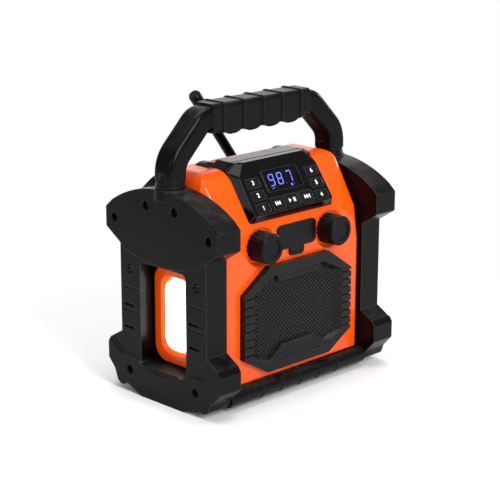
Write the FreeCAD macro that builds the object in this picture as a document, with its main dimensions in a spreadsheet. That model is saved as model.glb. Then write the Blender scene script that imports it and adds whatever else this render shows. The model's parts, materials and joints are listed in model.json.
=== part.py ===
import FreeCAD, Part
import math
import os
import sys
from types import SimpleNamespace

import Sketcher

# Jobsite radio: a casing between two thick end guards, with a carrying handle,
# two bumper rails, a leaning display panel, a side lamp and a rubber antenna.
# Frame: +X to the right along the front, the front faces -Y, +Z up.
# Origin: on the ground, midway between the guards and between front and rear.
# Lengths are millimetres, angles are degrees.

SIZES = {
    # End guards
    "guard_in": 83.0,            # half the distance between the guards
    "guard_thick": 25.4,         # thickness along X, face plates included
    "plate_proud": 2.4,          # face plates stand proud of the ribbed column
    "edge_bevel": 1.2,           # bevel round the outer face plates
    "lobe_y": 68.5,              # half depth of the upper lobe
    "lobe_low": 142.0,
    "lobe_high": 159.5,
    "lobe_shoulder_y": 61.0,
    "lobe_shoulder_z": 166.0,
    "lobe_top": 184.0,
    "column_y": 52.4,            # half depth of the column
    "column_top": 131.7,
    "column_foot": 52.3,
    "fan_low": 119.0,            # lowest point of the upper face plate
    "fan_rise": 7.0,             # how far its lower edge has risen near the column's edge
    "fan_rise_y": 45.0,
    "foot_knee_y": 66.0,
    "foot_knee_z": 44.3,
    "foot_y": 69.0,
    "foot_high": 40.0,
    "foot_low": 25.0,
    "foot_toe_y": 58.9,
    "foot_toe_z": 14.1,
    "nub_y": 50.5,
    "nub_reach": 6.0,
    "nub_bottom": 4.8,
    "notch_z": 7.8,
    "belly_y": 26.0,             # half length of the flat that rests on the ground
    "belly_rise_y": 37.0,
    "belly_rise_z": 4.5,
    "foot_plate_mid": 24.5,
    "foot_plate_side": 34.0,
    "foot_plate_y": 30.0,
    "window_y": 28.0,            # half width of the column's opening
    "window_low": 28.0,
    "window_high": 118.0,
    "rib_low": 73.5,
    "rib_pitch": 20.0,
    "rib_height": 2.2,
    "rib_slot_height": 3.0,
    "rib_slot_drop": 14.5,
    "groove_depth": 1.2,
    # Guard screws
    "screw_head_r": 2.9,
    "screw_head_h": 2.6,
    "screw_shank_r": 1.7,
    "screw_recess_r": 3.7,
    "screw_rim": 0.9,            # bevel round the mouth of a screw recess
    "screw_recess_h": 6.0,
    "screw_clear": 0.06,
    "long_screw": 25.0,
    "short_screw": 12.0,
    "upper_out_y": 57.3,
    "upper_out_z": 151.6,
    "upper_in_y": 17.4,
    "upper_in_z": 168.5,
    "column_screw_y": 40.6,
    "column_screw_z": 109.8,
    "foot_screw_z": 20.3,
    # Casing
    "wall": 2.6,
    "case_front": 50.0,
    "case_floor": 19.0,
    "crease_z": 118.0,           # the front's edges start to round off wider here
    "knee_z": 147.3,             # the front starts to lean back here
    "case_top": 194.3,
    "ridge_r": 22.0,             # rounding between the leaning front and the top
    "lean": 34.0,                # lean of the display panel from upright, degrees
    "front_edge_r": 7.0,
    "knee_edge_r": 14.0,
    "top_edge_r": 8.0,
    "top_round_r": 15.0,
    "split_y": 20.0,             # where the casing meets the rear cover
    "boss_r": 4.5,
    "boss_reach": 8.0,
    # Rear cover
    "rear_y": 52.0,
    "rear_knee_z": 172.0,
    "rear_top_y": 34.0,
    "rear_top_drop": 6.0,
    "rear_screw_x": 68.0,
    "rear_screw_low": 38.0,
    "rear_screw_high": 150.0,
    "rear_screw_length": 14.0,
    "rear_rib_pitch": 9.0,
    # Battery compartment
    "door_half": 50.0,
    "door_low": 34.0,
    "door_high": 92.0,
    "door_thick": 2.4,
    "door_clear": 0.4,
    "door_barrel_r": 2.3,
    "door_pin_r": 1.0,
    "door_pin_length": 9.0,
    "door_lug": 10.0,            # width of the lugs that hold the door's pins
    "door_lug_deep": 7.0,
    "door_lug_low": 4.0,         # how far the lugs reach below the door's lower edge
    "door_grip_half": 12.0,
    "door_grip_drop": 12.0,      # the finger grip starts this far under the door's upper edge
    "door_grip_proud": 1.6,
    "door_rib_in": 8.0,
    "rear_rib_end": 8.0,         # right end of the ribs above the door
    "rear_rib_tall": 3.0,
    "rear_rib_proud": 0.8,
    "pin_clear": 0.06,
    "tray_half": 44.0,
    "tray_low": 40.0,
    "tray_high": 88.0,
    "tray_depth": 24.0,
    "tray_wall": 1.8,
    "cell_r": 9.1,
    "cell_length": 65.0,
    "contact_gap": 0.2,
    "contact_half": 4.0,
    # Handle
    "leg_x": 95.7,
    "leg_r": 10.7,
    "leg_depth": 24.0,
    "leg_clear": 0.1,
    "leg_boss_wall": 3.5,
    "leg_boss_h": 9.0,
    "leg_seat": 0.4,             # the boss's flat top stands this far above the guard's arc
    "arm_thick": 20.0,
    "arm_deep": 22.0,
    "arm_corner_r": 5.0,
    "handle_z": 237.3,
    "arm_foot_z": 191.2,
    "arm_bend_z": 206.0,
    "bend_low_r": 24.0,
    "bend_high_r": 13.0,
    "grip_half": 58.0,
    "grip_deep": 23.0,
    "grip_tall": 24.4,
    "grip_corner_r": 3.6,
    "core_r": 7.0,
    "core_clear": 0.1,
    "finger_pitch": 23.1,
    "lobe_r": 12.5,
    "lobe_drop": 3.4,
    "band_wide": 2.0,
    "band_proud": 0.9,
    "collar_r": 12.5,
    "collar_low_h": 2.8,
    "collar_gap_h": 1.0,
    "collar_high_h": 2.4,
    # Rails
    "rail_y": 52.0,
    "rail_z": 11.0,
    "rail_r": 7.2,
    "rail_tube_r": 4.5,
    "rail_seat": 17.0,
    "rail_clear": 0.1,
    "rail_band_proud": 0.5,
    # Display housing, measured on the leaning face: across, up the slope, and out of it
    "panel_low_z": 154.4,
    "panel_out": 6.5,
    "panel_foot": 1.2,           # how far the panel's base reaches below its zero
    "panel_base_low": 50.6,
    "panel_base_high": 50.4,
    "panel_base_shoulder": 46.0,
    "panel_face_low": 47.4,
    "panel_face_high": 46.0,
    "panel_face_foot": 2.2,
    "panel_face_top": 50.0,
    "panel_shoulder": 38.0,
    "panel_top_half": 36.5,
    "panel_corner_r": 3.0,
    "panel_shoulder_r": 5.0,
    "panel_skin": 2.2,
    "panel_skirt": 4.4,
    "skirt_half": 46.0,
    "skirt_low": 0.4,
    "skirt_high": 44.5,
    "skirt_clear": 0.2,
    "skirt_wall": 1.8,
    "deck_half": 42.0,
    "deck_foot_half": 50.4,
    "deck_rear": 1.0,
    "deck_front": 19.0,
    "deck_sink": 8.0,            # the deck is drawn this far below the casing's top, then trimmed
    "deck_step": 0.3,
    "pad_x": 45.0,               # two rounded pads stand behind the deck
    "pad_length": 17.0,
    "pad_rear": 16.0,
    "pad_proud": 2.5,
    "lcd_half": 21.0,
    "lcd_low": 20.2,
    "lcd_high": 39.3,
    "lcd_margin": 2.0,
    "board_thick": 1.6,
    # Buttons
    "key_side_x": 35.2,
    "key_wide": 15.4,
    "key_tall": 8.4,
    "key_low": 7.8,
    "key_pitch": 11.4,
    "key_row_pitch": 17.2,
    "key_row_up": 9.2,
    "key_row_tall": 11.2,
    "key_corner_r": 1.4,
    "key_proud": 1.1,
    "key_clear": 0.3,
    "key_flange": 0.8,
    "key_flange_h": 1.2,
    "key_travel": 1.0,
    "key_stem": 3.0,
    "key_gap": 0.1,
    "switch_size": 6.0,
    # Knobs
    "knob_x": 42.0,
    "knob_z": 134.5,
    "knob_r": 13.4,
    "knob_front": 64.7,
    "knob_taper": 0.6,
    "knob_bevel": 1.1,
    "knob_dimple_r": 8.8,
    "knob_dimple": 1.0,
    "flute_count": 18,
    "flute_r": 1.1,
    "dish_r": 17.6,
    "dish_floor_r": 14.3,
    "dish_depth": 2.8,
    "dish_pad_r": 19.5,
    "dish_pad_back": 43.0,
    "knob_clear": 0.4,
    "shaft_r": 3.0,
    "shaft_clear": 0.06,
    "encoder_size": 14.0,
    "encoder_deep": 8.0,
    # Ports behind the rubber cover
    "port_half": 19.5,
    "port_low": 129.0,
    "port_high": 145.5,
    "port_sink": 1.2,
    "port_flange": 1.5,
    "usb_x": 9.0,
    "usb_wide": 13.2,
    "usb_tall": 5.8,
    "usb_deep": 14.0,
    "usb_skin": 0.5,
    "jack_x": 8.0,
    "jack_pitch": 9.0,
    "jack_r": 3.6,
    "jack_bore_r": 1.8,
    "jack_deep": 11.0,
    "cover_half": 23.0,
    "cover_low": 127.0,
    "cover_high": 148.0,
    "cover_thick": 2.0,
    "cover_gap": 0.3,
    "cover_corner_r": 5.0,
    "tab_half": 8.5,
    "tab_low": 120.0,
    # Grille and speaker
    "grille_half": 65.5,
    "grille_proud": 6.0,
    "grille_top": 116.5,
    "grille_top_half": 36.0,
    "grille_high": 96.5,
    "grille_low": 41.0,
    "grille_bottom": 24.5,
    "grille_bottom_half": 38.0,
    "grille_rim": 11.0,
    "grille_rim_end": 8.0,
    "grille_taper": 7.5,
    "grille_taper_end": 2.5,
    "mesh_thick": 0.9,
    "mesh_gap": 0.2,
    "mesh_margin": 1.2,
    "mesh_slot": 1.5,
    "mesh_pitch": 4.2,
    "fin_count": 8,
    "fin_low": 44.5,
    "fin_pitch": 7.0,
    "fin_slot": 1.6,
    "fin_deep": 2.2,
    "bar_top_half": 28.0,
    "bar_top_tall": 7.5,
    "bar_low_half": 37.0,
    "bar_low_top_half": 19.0,
    "bar_low_tall": 13.5,
    "bar_proud": 3.6,
    "bar_groove": 0.8,
    "speaker_z": 70.0,
    "speaker_r": 38.0,
    "speaker_hole_r": 35.0,
    "gasket_thick": 1.0,
    "basket_flange": 2.0,
    "basket_deep": 20.0,
    "basket_neck_r": 16.0,
    "basket_skin": 1.2,
    "cone_neck_r": 12.0,
    "cone_deep": 17.0,
    "cone_skin": 0.7,
    "magnet_r": 22.5,
    "magnet_thick": 14.0,
    # Lamp on the left end
    "lamp_y": 26.0,
    "lamp_low": 31.0,
    "lamp_high": 115.0,
    "lamp_corner_r": 14.0,
    "lamp_tray_thick": 2.0,
    "lamp_board_thick": 1.4,
    "bezel_reach": 8.5,
    "bezel_wide": 11.5,
    "bezel_slope": 4.0,
    "lens_thick": 2.2,
    "lens_dome": 1.4,
    "led_size": 3.2,
    "led_tall": 0.8,
    "led_rows": 7,
    "led_pitch": 8.2,
    "led_column": 8.0,
    # Right end panel
    "end_panel_reach": 13.0,
    "end_rib_proud": 2.0,
    "end_rib_count": 6,
    # Antenna, modelled upright about its tilt hinge
    "antenna_x": 50.0,
    "antenna_y": 58.5,
    "antenna_z": 157.0,
    "antenna_lean": 36.6,
    "antenna_length": 109.0,
    "antenna_r": 4.5,
    "antenna_cap_r": 5.5,
    "antenna_cap_h": 13.0,
    "antenna_root_r": 4.7,
    "antenna_root_h": 16.0,
    "fork_r": 7.0,
    "fork_half": 6.0,
    "tongue_half": 2.8,
    "fork_gap": 0.3,
    "antenna_pin_r": 1.5,
    "socket_r": 9.5,
    "socket_thick": 1.5,
    "spigot_r": 3.4,
    # Main board
    "main_y": 16.0,
    "main_half": 60.0,
    "main_low": 98.0,
    "main_high": 178.0,
    "post_r": 3.5,
    "post_x": 39.0,
    "post_low": 106.0,
    "post_high": 164.0,
    "tuner_half": 20.0,
    "tuner_thick": 5.0,
    "tuner_low": 124.0,
    "tuner_high": 156.0,
}

DOC = FreeCAD.newDocument("JobsiteRadio")
PARTS = {}
VECTOR = FreeCAD.Vector


class Size:
    """A number from the sheet, or worked out from it, with the expression that gives it."""

    def __init__(self, value, text):
        self.value = value
        self.text = text

    @staticmethod
    def of(other):
        return other if isinstance(other, Size) else Size(float(other), repr(float(other)))

    def __add__(self, other):
        other = Size.of(other)
        return Size(self.value + other.value, f"({self.text} + {other.text})")

    def __sub__(self, other):
        other = Size.of(other)
        return Size(self.value - other.value, f"({self.text} - {other.text})")

    def __mul__(self, other):
        other = Size.of(other)
        return Size(self.value * other.value, f"({self.text} * {other.text})")

    def __truediv__(self, other):
        other = Size.of(other)
        return Size(self.value / other.value, f"({self.text} / {other.text})")

    def __neg__(self):
        return Size(-self.value, f"(0 - {self.text})")

    def __radd__(self, other):
        return Size.of(other) + self

    def __rsub__(self, other):
        return Size.of(other) - self

    def __rmul__(self, other):
        return Size.of(other) * self

    def tan(self):
        return Size(math.tan(math.radians(self.value)), f"tan({self.text} * 1 deg)")

    def cos(self):
        return Size(math.cos(math.radians(self.value)), f"cos({self.text} * 1 deg)")

    def sin(self):
        return Size(math.sin(math.radians(self.value)), f"sin({self.text} * 1 deg)")


def fill_sheet():
    """Write the driving dimensions into the spreadsheet and return them by name."""
    sheet = DOC.addObject("Spreadsheet::Sheet", "Sizes")
    named = {}
    for row, (alias, number) in enumerate(SIZES.items(), start=1):
        sheet.set(f"A{row}", alias)
        sheet.set(f"B{row}", str(number))
        sheet.setAlias(f"B{row}", alias)
        named[alias] = Size(float(number), f"Sizes.{alias}")
    DOC.recompute()
    return SimpleNamespace(**named)


S = fill_sheet()

# Each plane: the axis across it, and the way that a sketch's own axes lie in it.
PLANES = {
    "X": (VECTOR(1, 0, 0), FreeCAD.Rotation(VECTOR(0, 1, 0), VECTOR(0, 0, 1), VECTOR(1, 0, 0), "XYZ")),
    "Y": (VECTOR(0, 1, 0), FreeCAD.Rotation(VECTOR(1, 0, 0), VECTOR(0, 0, 1), VECTOR(0, -1, 0), "XYZ")),
    "Z": (VECTOR(0, 0, 1), FreeCAD.Rotation()),
}


class Via:
    """A point that an arc of an outline passes through, between its two ends."""

    def __init__(self, x, y):
        self.x = Size.of(x)
        self.y = Size.of(y)


def bind(obj, prop, size):
    """Tie a property to the sheet."""
    size = Size.of(size)
    if "Placement.Base" not in prop:
        setattr(obj, prop, size.value)
    obj.setExpression(prop, size.text)


def place(obj, x=0, y=0, z=0, rotation=None):
    """Give an object its place, with each coordinate tied to the sheet."""
    x, y, z = Size.of(x), Size.of(y), Size.of(z)
    turn = rotation or FreeCAD.Rotation()
    obj.Placement = FreeCAD.Placement(VECTOR(x.value, y.value, z.value), turn)
    for axis, size in (("x", x), ("y", y), ("z", z)):
        obj.setExpression(f"Placement.Base.{axis}", size.text)
    return obj


def circle_through(start, via, end):
    """Centre and radius of the circle through three points."""
    ax, ay = via[0] - start[0], via[1] - start[1]
    bx, by = end[0] - start[0], end[1] - start[1]
    cross = 2 * (ax * by - ay * bx)
    ux = (by * (ax * ax + ay * ay) - ay * (bx * bx + by * by)) / cross
    uy = (ax * (bx * bx + by * by) - bx * (ax * ax + ay * ay)) / cross
    return (start[0] + ux, start[1] + uy), math.hypot(ux, uy)


def arc_between(centre, radius, start, end, left_turn):
    """A sketch arc, and which of its ends (1 or 2) lies at the start."""
    def angle(point):
        return math.atan2(point[1] - centre[1], point[0] - centre[0])
    first, last = (start, end) if left_turn else (end, start)
    low, high = angle(first), angle(last)
    if high <= low:
        high += 2 * math.pi
    ring = Part.Circle(VECTOR(centre[0], centre[1], 0), VECTOR(0, 0, 1), radius)
    return Part.ArcOfCircle(ring, low, high), (1 if left_turn else 2)


def corner_ends(before, corner, after, radius):
    """Where a rounded corner leaves its two sides, its arc's centre, and its sense."""
    inward = VECTOR(corner[0] - before[0], corner[1] - before[1], 0).normalize()
    onward = VECTOR(after[0] - corner[0], after[1] - corner[1], 0).normalize()
    turn = inward.getAngle(onward)
    reach = radius * math.tan(turn / 2)
    start = (corner[0] - inward.x * reach, corner[1] - inward.y * reach)
    end = (corner[0] + onward.x * reach, corner[1] + onward.y * reach)
    left_turn = inward.x * onward.y - inward.y * onward.x > 0
    side = 1 if left_turn else -1
    centre = (start[0] - side * inward.y * radius, start[1] + side * inward.x * radius)
    return start, end, centre, left_turn


def fix_point(sketch, geometry, end, x, y):
    """Dimension one point of a sketch from its origin, tied to the sheet."""
    for kind, size in (("DistanceX", x), ("DistanceY", y)):
        index = sketch.addConstraint(Sketcher.Constraint(kind, -1, 1, geometry, end, size.value))
        sketch.setExpression(f"Constraints[{index}]", size.text)


def outline(name, plane, at, points, closed=True):
    """Draw a dimensioned sketch across an axis.

    Points are (x, y), or (x, y, radius) for a rounded corner, or Via for an arc's middle.
    """
    sketch = DOC.addObject("Sketcher::SketchObject", name + "_outline")
    axis, turn = PLANES[plane]
    at = Size.of(at)
    place(sketch, at if plane == "X" else 0, at if plane == "Y" else 0, at if plane == "Z" else 0, turn)
    corners, vias = [], {}
    for point in points:
        if isinstance(point, Via):
            vias[len(corners) - 1] = point
        else:
            corners.append([Size.of(part) for part in point])
    count = len(corners)
    flat = [(corner[0].value, corner[1].value) for corner in corners]
    joints = []
    for index, corner in enumerate(corners):
        if len(corner) == 3:
            joints.append(corner_ends(flat[index - 1], flat[index], flat[(index + 1) % count],
                                      corner[2].value))
        else:
            joints.append((flat[index], flat[index], None, None))
    sides = {}
    for index in range(count if closed else count - 1):
        start, end = joints[index][1], joints[(index + 1) % count][0]
        if index in vias:
            via = (vias[index].x.value, vias[index].y.value)
            centre, radius = circle_through(start, via, end)
            left = (via[0] - start[0]) * (end[1] - start[1]) - (via[1] - start[1]) * (end[0] - start[0]) < 0
            curve, first = arc_between(centre, radius, start, end, not left)
            number = sketch.addGeometry(curve, False)
            sides[index] = (number, first, 3 - first)
            dot = sketch.addGeometry(Part.Point(VECTOR(via[0], via[1], 0)), True)
            fix_point(sketch, dot, 1, vias[index].x, vias[index].y)
            sketch.addConstraint(Sketcher.Constraint("PointOnObject", dot, 1, number))
        else:
            line = Part.LineSegment(VECTOR(start[0], start[1], 0), VECTOR(end[0], end[1], 0))
            sides[index] = (sketch.addGeometry(line, False), 1, 2)
    for index, corner in enumerate(corners):
        before, after = sides.get((index - 1) % count), sides.get(index)
        start, end, centre, left_turn = joints[index]
        if centre is None:
            if before and after:
                sketch.addConstraint(Sketcher.Constraint("Coincident", before[0], before[2], after[0],
                                                         after[1]))
            if after:
                fix_point(sketch, after[0], after[1], corner[0], corner[1])
            else:
                fix_point(sketch, before[0], before[2], corner[0], corner[1])
            continue
        curve, first = arc_between(centre, corner[2].value, start, end, left_turn)
        number = sketch.addGeometry(curve, False)
        dot = sketch.addGeometry(Part.Point(VECTOR(flat[index][0], flat[index][1], 0)), True)
        sketch.addConstraint([
            Sketcher.Constraint("Tangent", before[0], before[2], number, first),
            Sketcher.Constraint("Tangent", number, 3 - first, after[0], after[1]),
            Sketcher.Constraint("PointOnObject", dot, 1, before[0]),
            Sketcher.Constraint("PointOnObject", dot, 1, after[0]),
        ])
        fix_point(sketch, dot, 1, corner[0], corner[1])
        radius = sketch.addConstraint(Sketcher.Constraint("Radius", number, corner[2].value))
        sketch.setExpression(f"Constraints[{radius}]", corner[2].text)
    return sketch


def prism(name, plane, start, end, points):
    """A straight solid between two stations of an axis, from an outline across it."""
    body = DOC.addObject("Part::Extrusion", name)
    body.Base = outline(name, plane, start, points)
    body.DirMode = "Custom"
    body.Dir = PLANES[plane][0]
    body.Solid = True
    bind(body, "LengthFwd", Size.of(end) - start)
    return body


def block(name, x, y, z):
    """A box from its spans along X, Y and Z."""
    body = DOC.addObject("Part::Box", name)
    for prop, (low, high) in (("Length", x), ("Width", y), ("Height", z)):
        bind(body, prop, Size.of(high) - low)
    return place(body, x[0], y[0], z[0])


def rod(name, axis, radius, span, centre):
    """A cylinder along an axis, from its span on it and its centre across it."""
    body = DOC.addObject("Part::Cylinder", name)
    bind(body, "Radius", radius)
    bind(body, "Height", Size.of(span[1]) - span[0])
    turn = {"X": FreeCAD.Rotation(VECTOR(0, 1, 0), 90), "Y": FreeCAD.Rotation(VECTOR(1, 0, 0), -90),
            "Z": FreeCAD.Rotation()}[axis]
    spot = {"X": (span[0], *centre), "Y": (centre[0], span[0], centre[1]), "Z": (*centre, span[0])}[axis]
    return place(body, *spot, rotation=turn)


def taper(name, axis, radii, span, centre):
    """A cone along an axis, from the radii at the two ends of its span."""
    body = DOC.addObject("Part::Cone", name)
    bind(body, "Radius1", radii[0])
    bind(body, "Radius2", radii[1])
    bind(body, "Height", Size.of(span[1]) - span[0])
    turn = {"X": FreeCAD.Rotation(VECTOR(0, 1, 0), 90), "Y": FreeCAD.Rotation(VECTOR(1, 0, 0), -90),
            "Z": FreeCAD.Rotation()}[axis]
    spot = {"X": (span[0], *centre), "Y": (centre[0], span[0], centre[1]), "Z": (*centre, span[0])}[axis]
    return place(body, *spot, rotation=turn)


def loft(name, sections, straight=True):
    """A solid through sketches, with straight or smoothly curved sides between them."""
    body = DOC.addObject("Part::Loft", name)
    body.Sections = sections
    body.Solid = True
    body.Ruled = straight
    return body


def fuse(name, solids):
    """Join solids that overlap or touch into one."""
    solids = list(solids)
    if len(solids) == 1:
        return solids[0]
    body = DOC.addObject("Part::MultiFuse", name)
    body.Shapes = solids
    body.Refine = True
    return body


def cut(name, base, tools):
    """Take the tools' space out of the base."""
    body = DOC.addObject("Part::Cut", name)
    body.Base = base
    body.Tool = fuse(name + "_tools", tools)
    body.Refine = True
    return body


def common(name, first, second):
    """The space that two solids share."""
    body = DOC.addObject("Part::Common", name)
    body.Base = first
    body.Tool = second
    body.Refine = True
    return body


def group(name, solids):
    """Separate solids that share one node."""
    body = DOC.addObject("Part::Compound", name)
    body.Links = list(solids)
    return body


def mirrored(name, source):
    """The same solid on the other side of the middle plane."""
    body = DOC.addObject("Part::Mirroring", name)
    body.Source = source
    body.Normal = VECTOR(1, 0, 0)
    body.Base = VECTOR(0, 0, 0)
    return body


def keep(node, body):
    """Name a finished sub-part, which is then written to its own file."""
    body.Label = node
    PARTS[node] = body
    return body


def oblong(y_half, z_low, z_high, radius):
    """A rounded rectangle, symmetric about the first axis's zero."""
    return [(-y_half, z_low, radius), (y_half, z_low, radius), (y_half, z_high, radius),
            (-y_half, z_high, radius)]


# End guards. Outlines are drawn in Y and Z and the guard is built on the left, at negative X.

PAST = 1                         # cutting tools run this far past a face, and fused pieces into each other
SINK = 0.5                       # thin raised pieces are sunk this far into what carries them
SLACK = 0.3                      # gap between still pieces that lie side by side
GUARD_OUT = S.guard_in + S.guard_thick
COLUMN_OUT = GUARD_OUT - S.plate_proud
LEG_SEAT_Z = S.lobe_top + S.leg_seat


def both_sides(points):
    """Continue a front-to-middle run of points with its mirror image."""
    def flip(point):
        if isinstance(point, Via):
            return Via(-point.x, point.y)
        return (-Size.of(point[0]), *point[1:])
    return points + [flip(point) for point in reversed(points)]


def guard_outline():
    """The guard's whole side view, from the belly round to the top arc."""
    rear = [
        (S.belly_y, 0),
        (S.belly_rise_y, S.belly_rise_z),
        (S.nub_y - S.nub_reach, S.notch_z),
        Via(S.nub_y, S.nub_bottom),
        (S.nub_y + S.nub_reach, S.notch_z),
        (S.foot_toe_y, S.foot_toe_z),
        (S.foot_y, S.foot_low, 3),
        (S.foot_y, S.foot_high, 2),
        (S.foot_knee_y, S.foot_knee_z),
        (S.column_y, S.column_foot),
        (S.column_y, S.column_top),
        (S.lobe_y, S.lobe_low, 2),
        (S.lobe_y, S.lobe_high),
        (S.lobe_shoulder_y, S.lobe_shoulder_z),
    ]
    return both_sides(rear)[:len(rear)] + [Via(0, S.lobe_top)] + both_sides(rear)[len(rear):]


def fan_outline():
    """The upper face plate: the lobe, down to an arc across the column."""
    rear = [
        (S.fan_rise_y, S.fan_low + S.fan_rise),
        (S.column_y, S.column_top),
        (S.lobe_y, S.lobe_low, 2),
        (S.lobe_y, S.lobe_high),
        (S.lobe_shoulder_y, S.lobe_shoulder_z),
    ]
    front = both_sides(rear)[len(rear):]
    return rear + [Via(0, S.lobe_top)] + front + [Via(0, S.fan_low)]


def foot_outline():
    """The lower face plate: the foot, up to a shallow dip across the column."""
    rear = [
        (S.belly_y, 0),
        (S.belly_rise_y, S.belly_rise_z),
        (S.nub_y - S.nub_reach, S.notch_z),
        Via(S.nub_y, S.nub_bottom),
        (S.nub_y + S.nub_reach, S.notch_z),
        (S.foot_toe_y, S.foot_toe_z),
        (S.foot_y, S.foot_low, 3),
        (S.foot_y, S.foot_high, 2),
        (S.foot_knee_y, S.foot_knee_z),
        (S.column_y, S.foot_plate_side),
        (S.foot_plate_y, S.foot_plate_side),
    ]
    return both_sides(rear)[:len(rear)] + [Via(0, S.foot_plate_mid)] + both_sides(rear)[len(rear):]


TOUCH = 0.01                     # edges nearer than this count as lying on a plane


def bevelled(name, plate, drop):
    """Bevel the edges of a plate's outer face above the toe, found by where they lie."""
    DOC.recompute()
    picked = [(index, drop.value, drop.value) for index, edge in enumerate(plate.Shape.Edges, start=1)
              if edge.BoundBox.XMax < -GUARD_OUT.value + TOUCH
              and edge.BoundBox.ZMin > S.foot_toe_z.value - TOUCH]
    body = DOC.addObject("Part::Chamfer", name)
    body.Base = plate
    body.Edges = picked
    return body


def guard_screw_places():
    """Every screw of one guard as (Y, Z, length, distance of the face that it sinks into)."""
    for side in (-1, 1):
        yield side * S.upper_out_y, S.upper_out_z, S.short_screw, GUARD_OUT
        yield side * S.upper_in_y, S.upper_in_z, S.long_screw, GUARD_OUT
        yield side * S.column_screw_y, S.column_screw_z, S.long_screw, COLUMN_OUT
        yield side * S.column_screw_y, S.foot_screw_z, S.short_screw, GUARD_OUT


def guard_solid():
    """The left guard, before it is named."""
    main = prism("guard_main", "X", -COLUMN_OUT, -S.guard_in, guard_outline())
    fan = bevelled("fan_plate", prism("fan", "X", -GUARD_OUT, -COLUMN_OUT + PAST, fan_outline()),
                   S.edge_bevel)
    foot = bevelled("foot_plate", prism("foot", "X", -GUARD_OUT, -COLUMN_OUT + PAST, foot_outline()),
                    S.edge_bevel)
    boss = rod("leg_boss_round", "Z", S.leg_r + S.leg_boss_wall, (LEG_SEAT_Z - S.leg_boss_h, LEG_SEAT_Z),
               (-S.leg_x, 0))
    room = block("leg_boss_room", (-GUARD_OUT - 2 * S.leg_boss_wall, -S.guard_in),
                 (-S.column_y, S.column_y),
                 (S.fan_low, LEG_SEAT_Z + PAST))
    solid = fuse("guard_blank", [fuse("guard_plates", [main, fan, foot]), common("leg_boss", boss, room)])
    tools = [
        prism("guard_window", "X", -GUARD_OUT - PAST, -S.guard_in + PAST,
              oblong(S.window_y, S.window_low, S.window_high, 5)),
        rod("leg_bore", "Z", S.leg_r + S.leg_clear, (S.lobe_top - S.leg_depth, LEG_SEAT_Z + PAST),
            (-S.leg_x, 0)),
    ]
    for side in (-1, 1):
        spot = (side * S.rail_y, S.rail_z)
        tools.append(rod("rail_bore", "X", S.rail_tube_r + S.rail_clear,
                         (-S.guard_in - S.rail_seat, -S.guard_in + PAST), spot))
        tools.extend(column_grooves(side))
    for y, z, length, face in guard_screw_places():
        head_back = -GUARD_OUT + S.screw_recess_h
        tools.append(rod("screw_recess", "X", S.screw_recess_r, (-GUARD_OUT - PAST, head_back), (y, z)))
        tools.append(taper("screw_mouth", "X", (S.screw_recess_r + 2 * S.screw_rim, S.screw_recess_r),
                           (-face - S.screw_rim, -face + S.screw_rim), (y, z)))
        tools.append(rod("screw_bore", "X", S.screw_shank_r + S.screw_clear,
                         (head_back - PAST, head_back + length + SINK), (y, z)))
    return cut("guard", solid, tools)


def column_grooves(side):
    """Steps and slots across one flank of the column's outer face."""
    inner, outer = S.window_y + 1.5, S.column_y - 2.0
    span = (inner, outer) if side > 0 else (-outer, -inner)
    for number in (0, 1):
        top = S.rib_low + number * S.rib_pitch
        yield block("column_step", (-COLUMN_OUT - PAST, -COLUMN_OUT + S.groove_depth), span,
                    (top - S.rib_height, top))
        slot_top = top - S.rib_slot_drop
        yield block("column_slot", (-COLUMN_OUT - PAST, -COLUMN_OUT + 2 * S.groove_depth),
                    (span[0] + 6, span[1] - 1), (slot_top - S.rib_slot_height, slot_top))


def guards():
    """Both guards with their screws."""
    left = keep("left_guard", guard_solid())
    keep("right_guard", mirrored("guard_right", left))
    screws = []
    for y, z, length, _ in guard_screw_places():
        seat = -GUARD_OUT + S.screw_recess_h
        head = rod("screw_head", "X", S.screw_head_r, (seat - S.screw_head_h, seat), (y, z))
        shank = rod("screw_shank", "X", S.screw_shank_r, (seat - SINK, seat + length), (y, z))
        slot = block("screw_slot", (seat - S.screw_head_h - PAST, seat - S.screw_head_h + PAST),
                     (y - SINK, y + SINK), (z - S.screw_head_r, z + S.screw_head_r))
        cross = block("screw_cross", (seat - S.screw_head_h - PAST, seat - S.screw_head_h + PAST),
                      (y - S.screw_head_r, y + S.screw_head_r), (z - SINK, z + SINK))
        screws.append(cut("guard_screw", fuse("screw_blank", [head, shank]), [slot, cross]))
    left_screws = group("screws_left", screws)
    keep("guard_screws", group("guard_screw_set", [left_screws, mirrored("screws_right", left_screws)]))


# Casing and rear cover.

def lean_setback(z):
    """How far the leaning front has gone back at a height above the knee."""
    return (z - S.knee_z) * S.lean.tan()


def ridge_stations(inset):
    """Heights and front distances up the rounding between the leaning front and the top."""
    centre_z = S.case_top - S.ridge_r
    centre_y = S.case_front - lean_setback(centre_z) - S.ridge_r / S.lean.cos()
    radius = S.ridge_r - inset
    for step in range(5):
        turn = S.lean + (90 - S.lean) * (step / 4)
        yield centre_z + radius * turn.sin(), centre_y + radius * turn.cos(), S.top_edge_r - inset


def case_loft(name, inset, rear):
    """The casing's outer or inner space, without its rounded top corners."""
    half = S.guard_in - inset
    front = S.case_front - inset
    upper = list(ridge_stations(inset))
    lower = [
        (S.case_floor + inset, front, S.front_edge_r - inset),
        (S.crease_z, front, S.front_edge_r - inset),
        (S.knee_z, front, S.knee_edge_r - inset),
        upper[0],
    ]

    def sections(label, stations):
        return [outline(f"{name}_{label}_{number}", "Z", z, [
            (-half, rear), (-half, -y, radius), (half, -y, radius), (half, rear)])
            for number, (z, y, radius) in enumerate(stations)]

    return fuse(name, [loft(name + "_lower", sections("low", lower)),
                       loft(name + "_upper", sections("high", upper), straight=False)])


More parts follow.
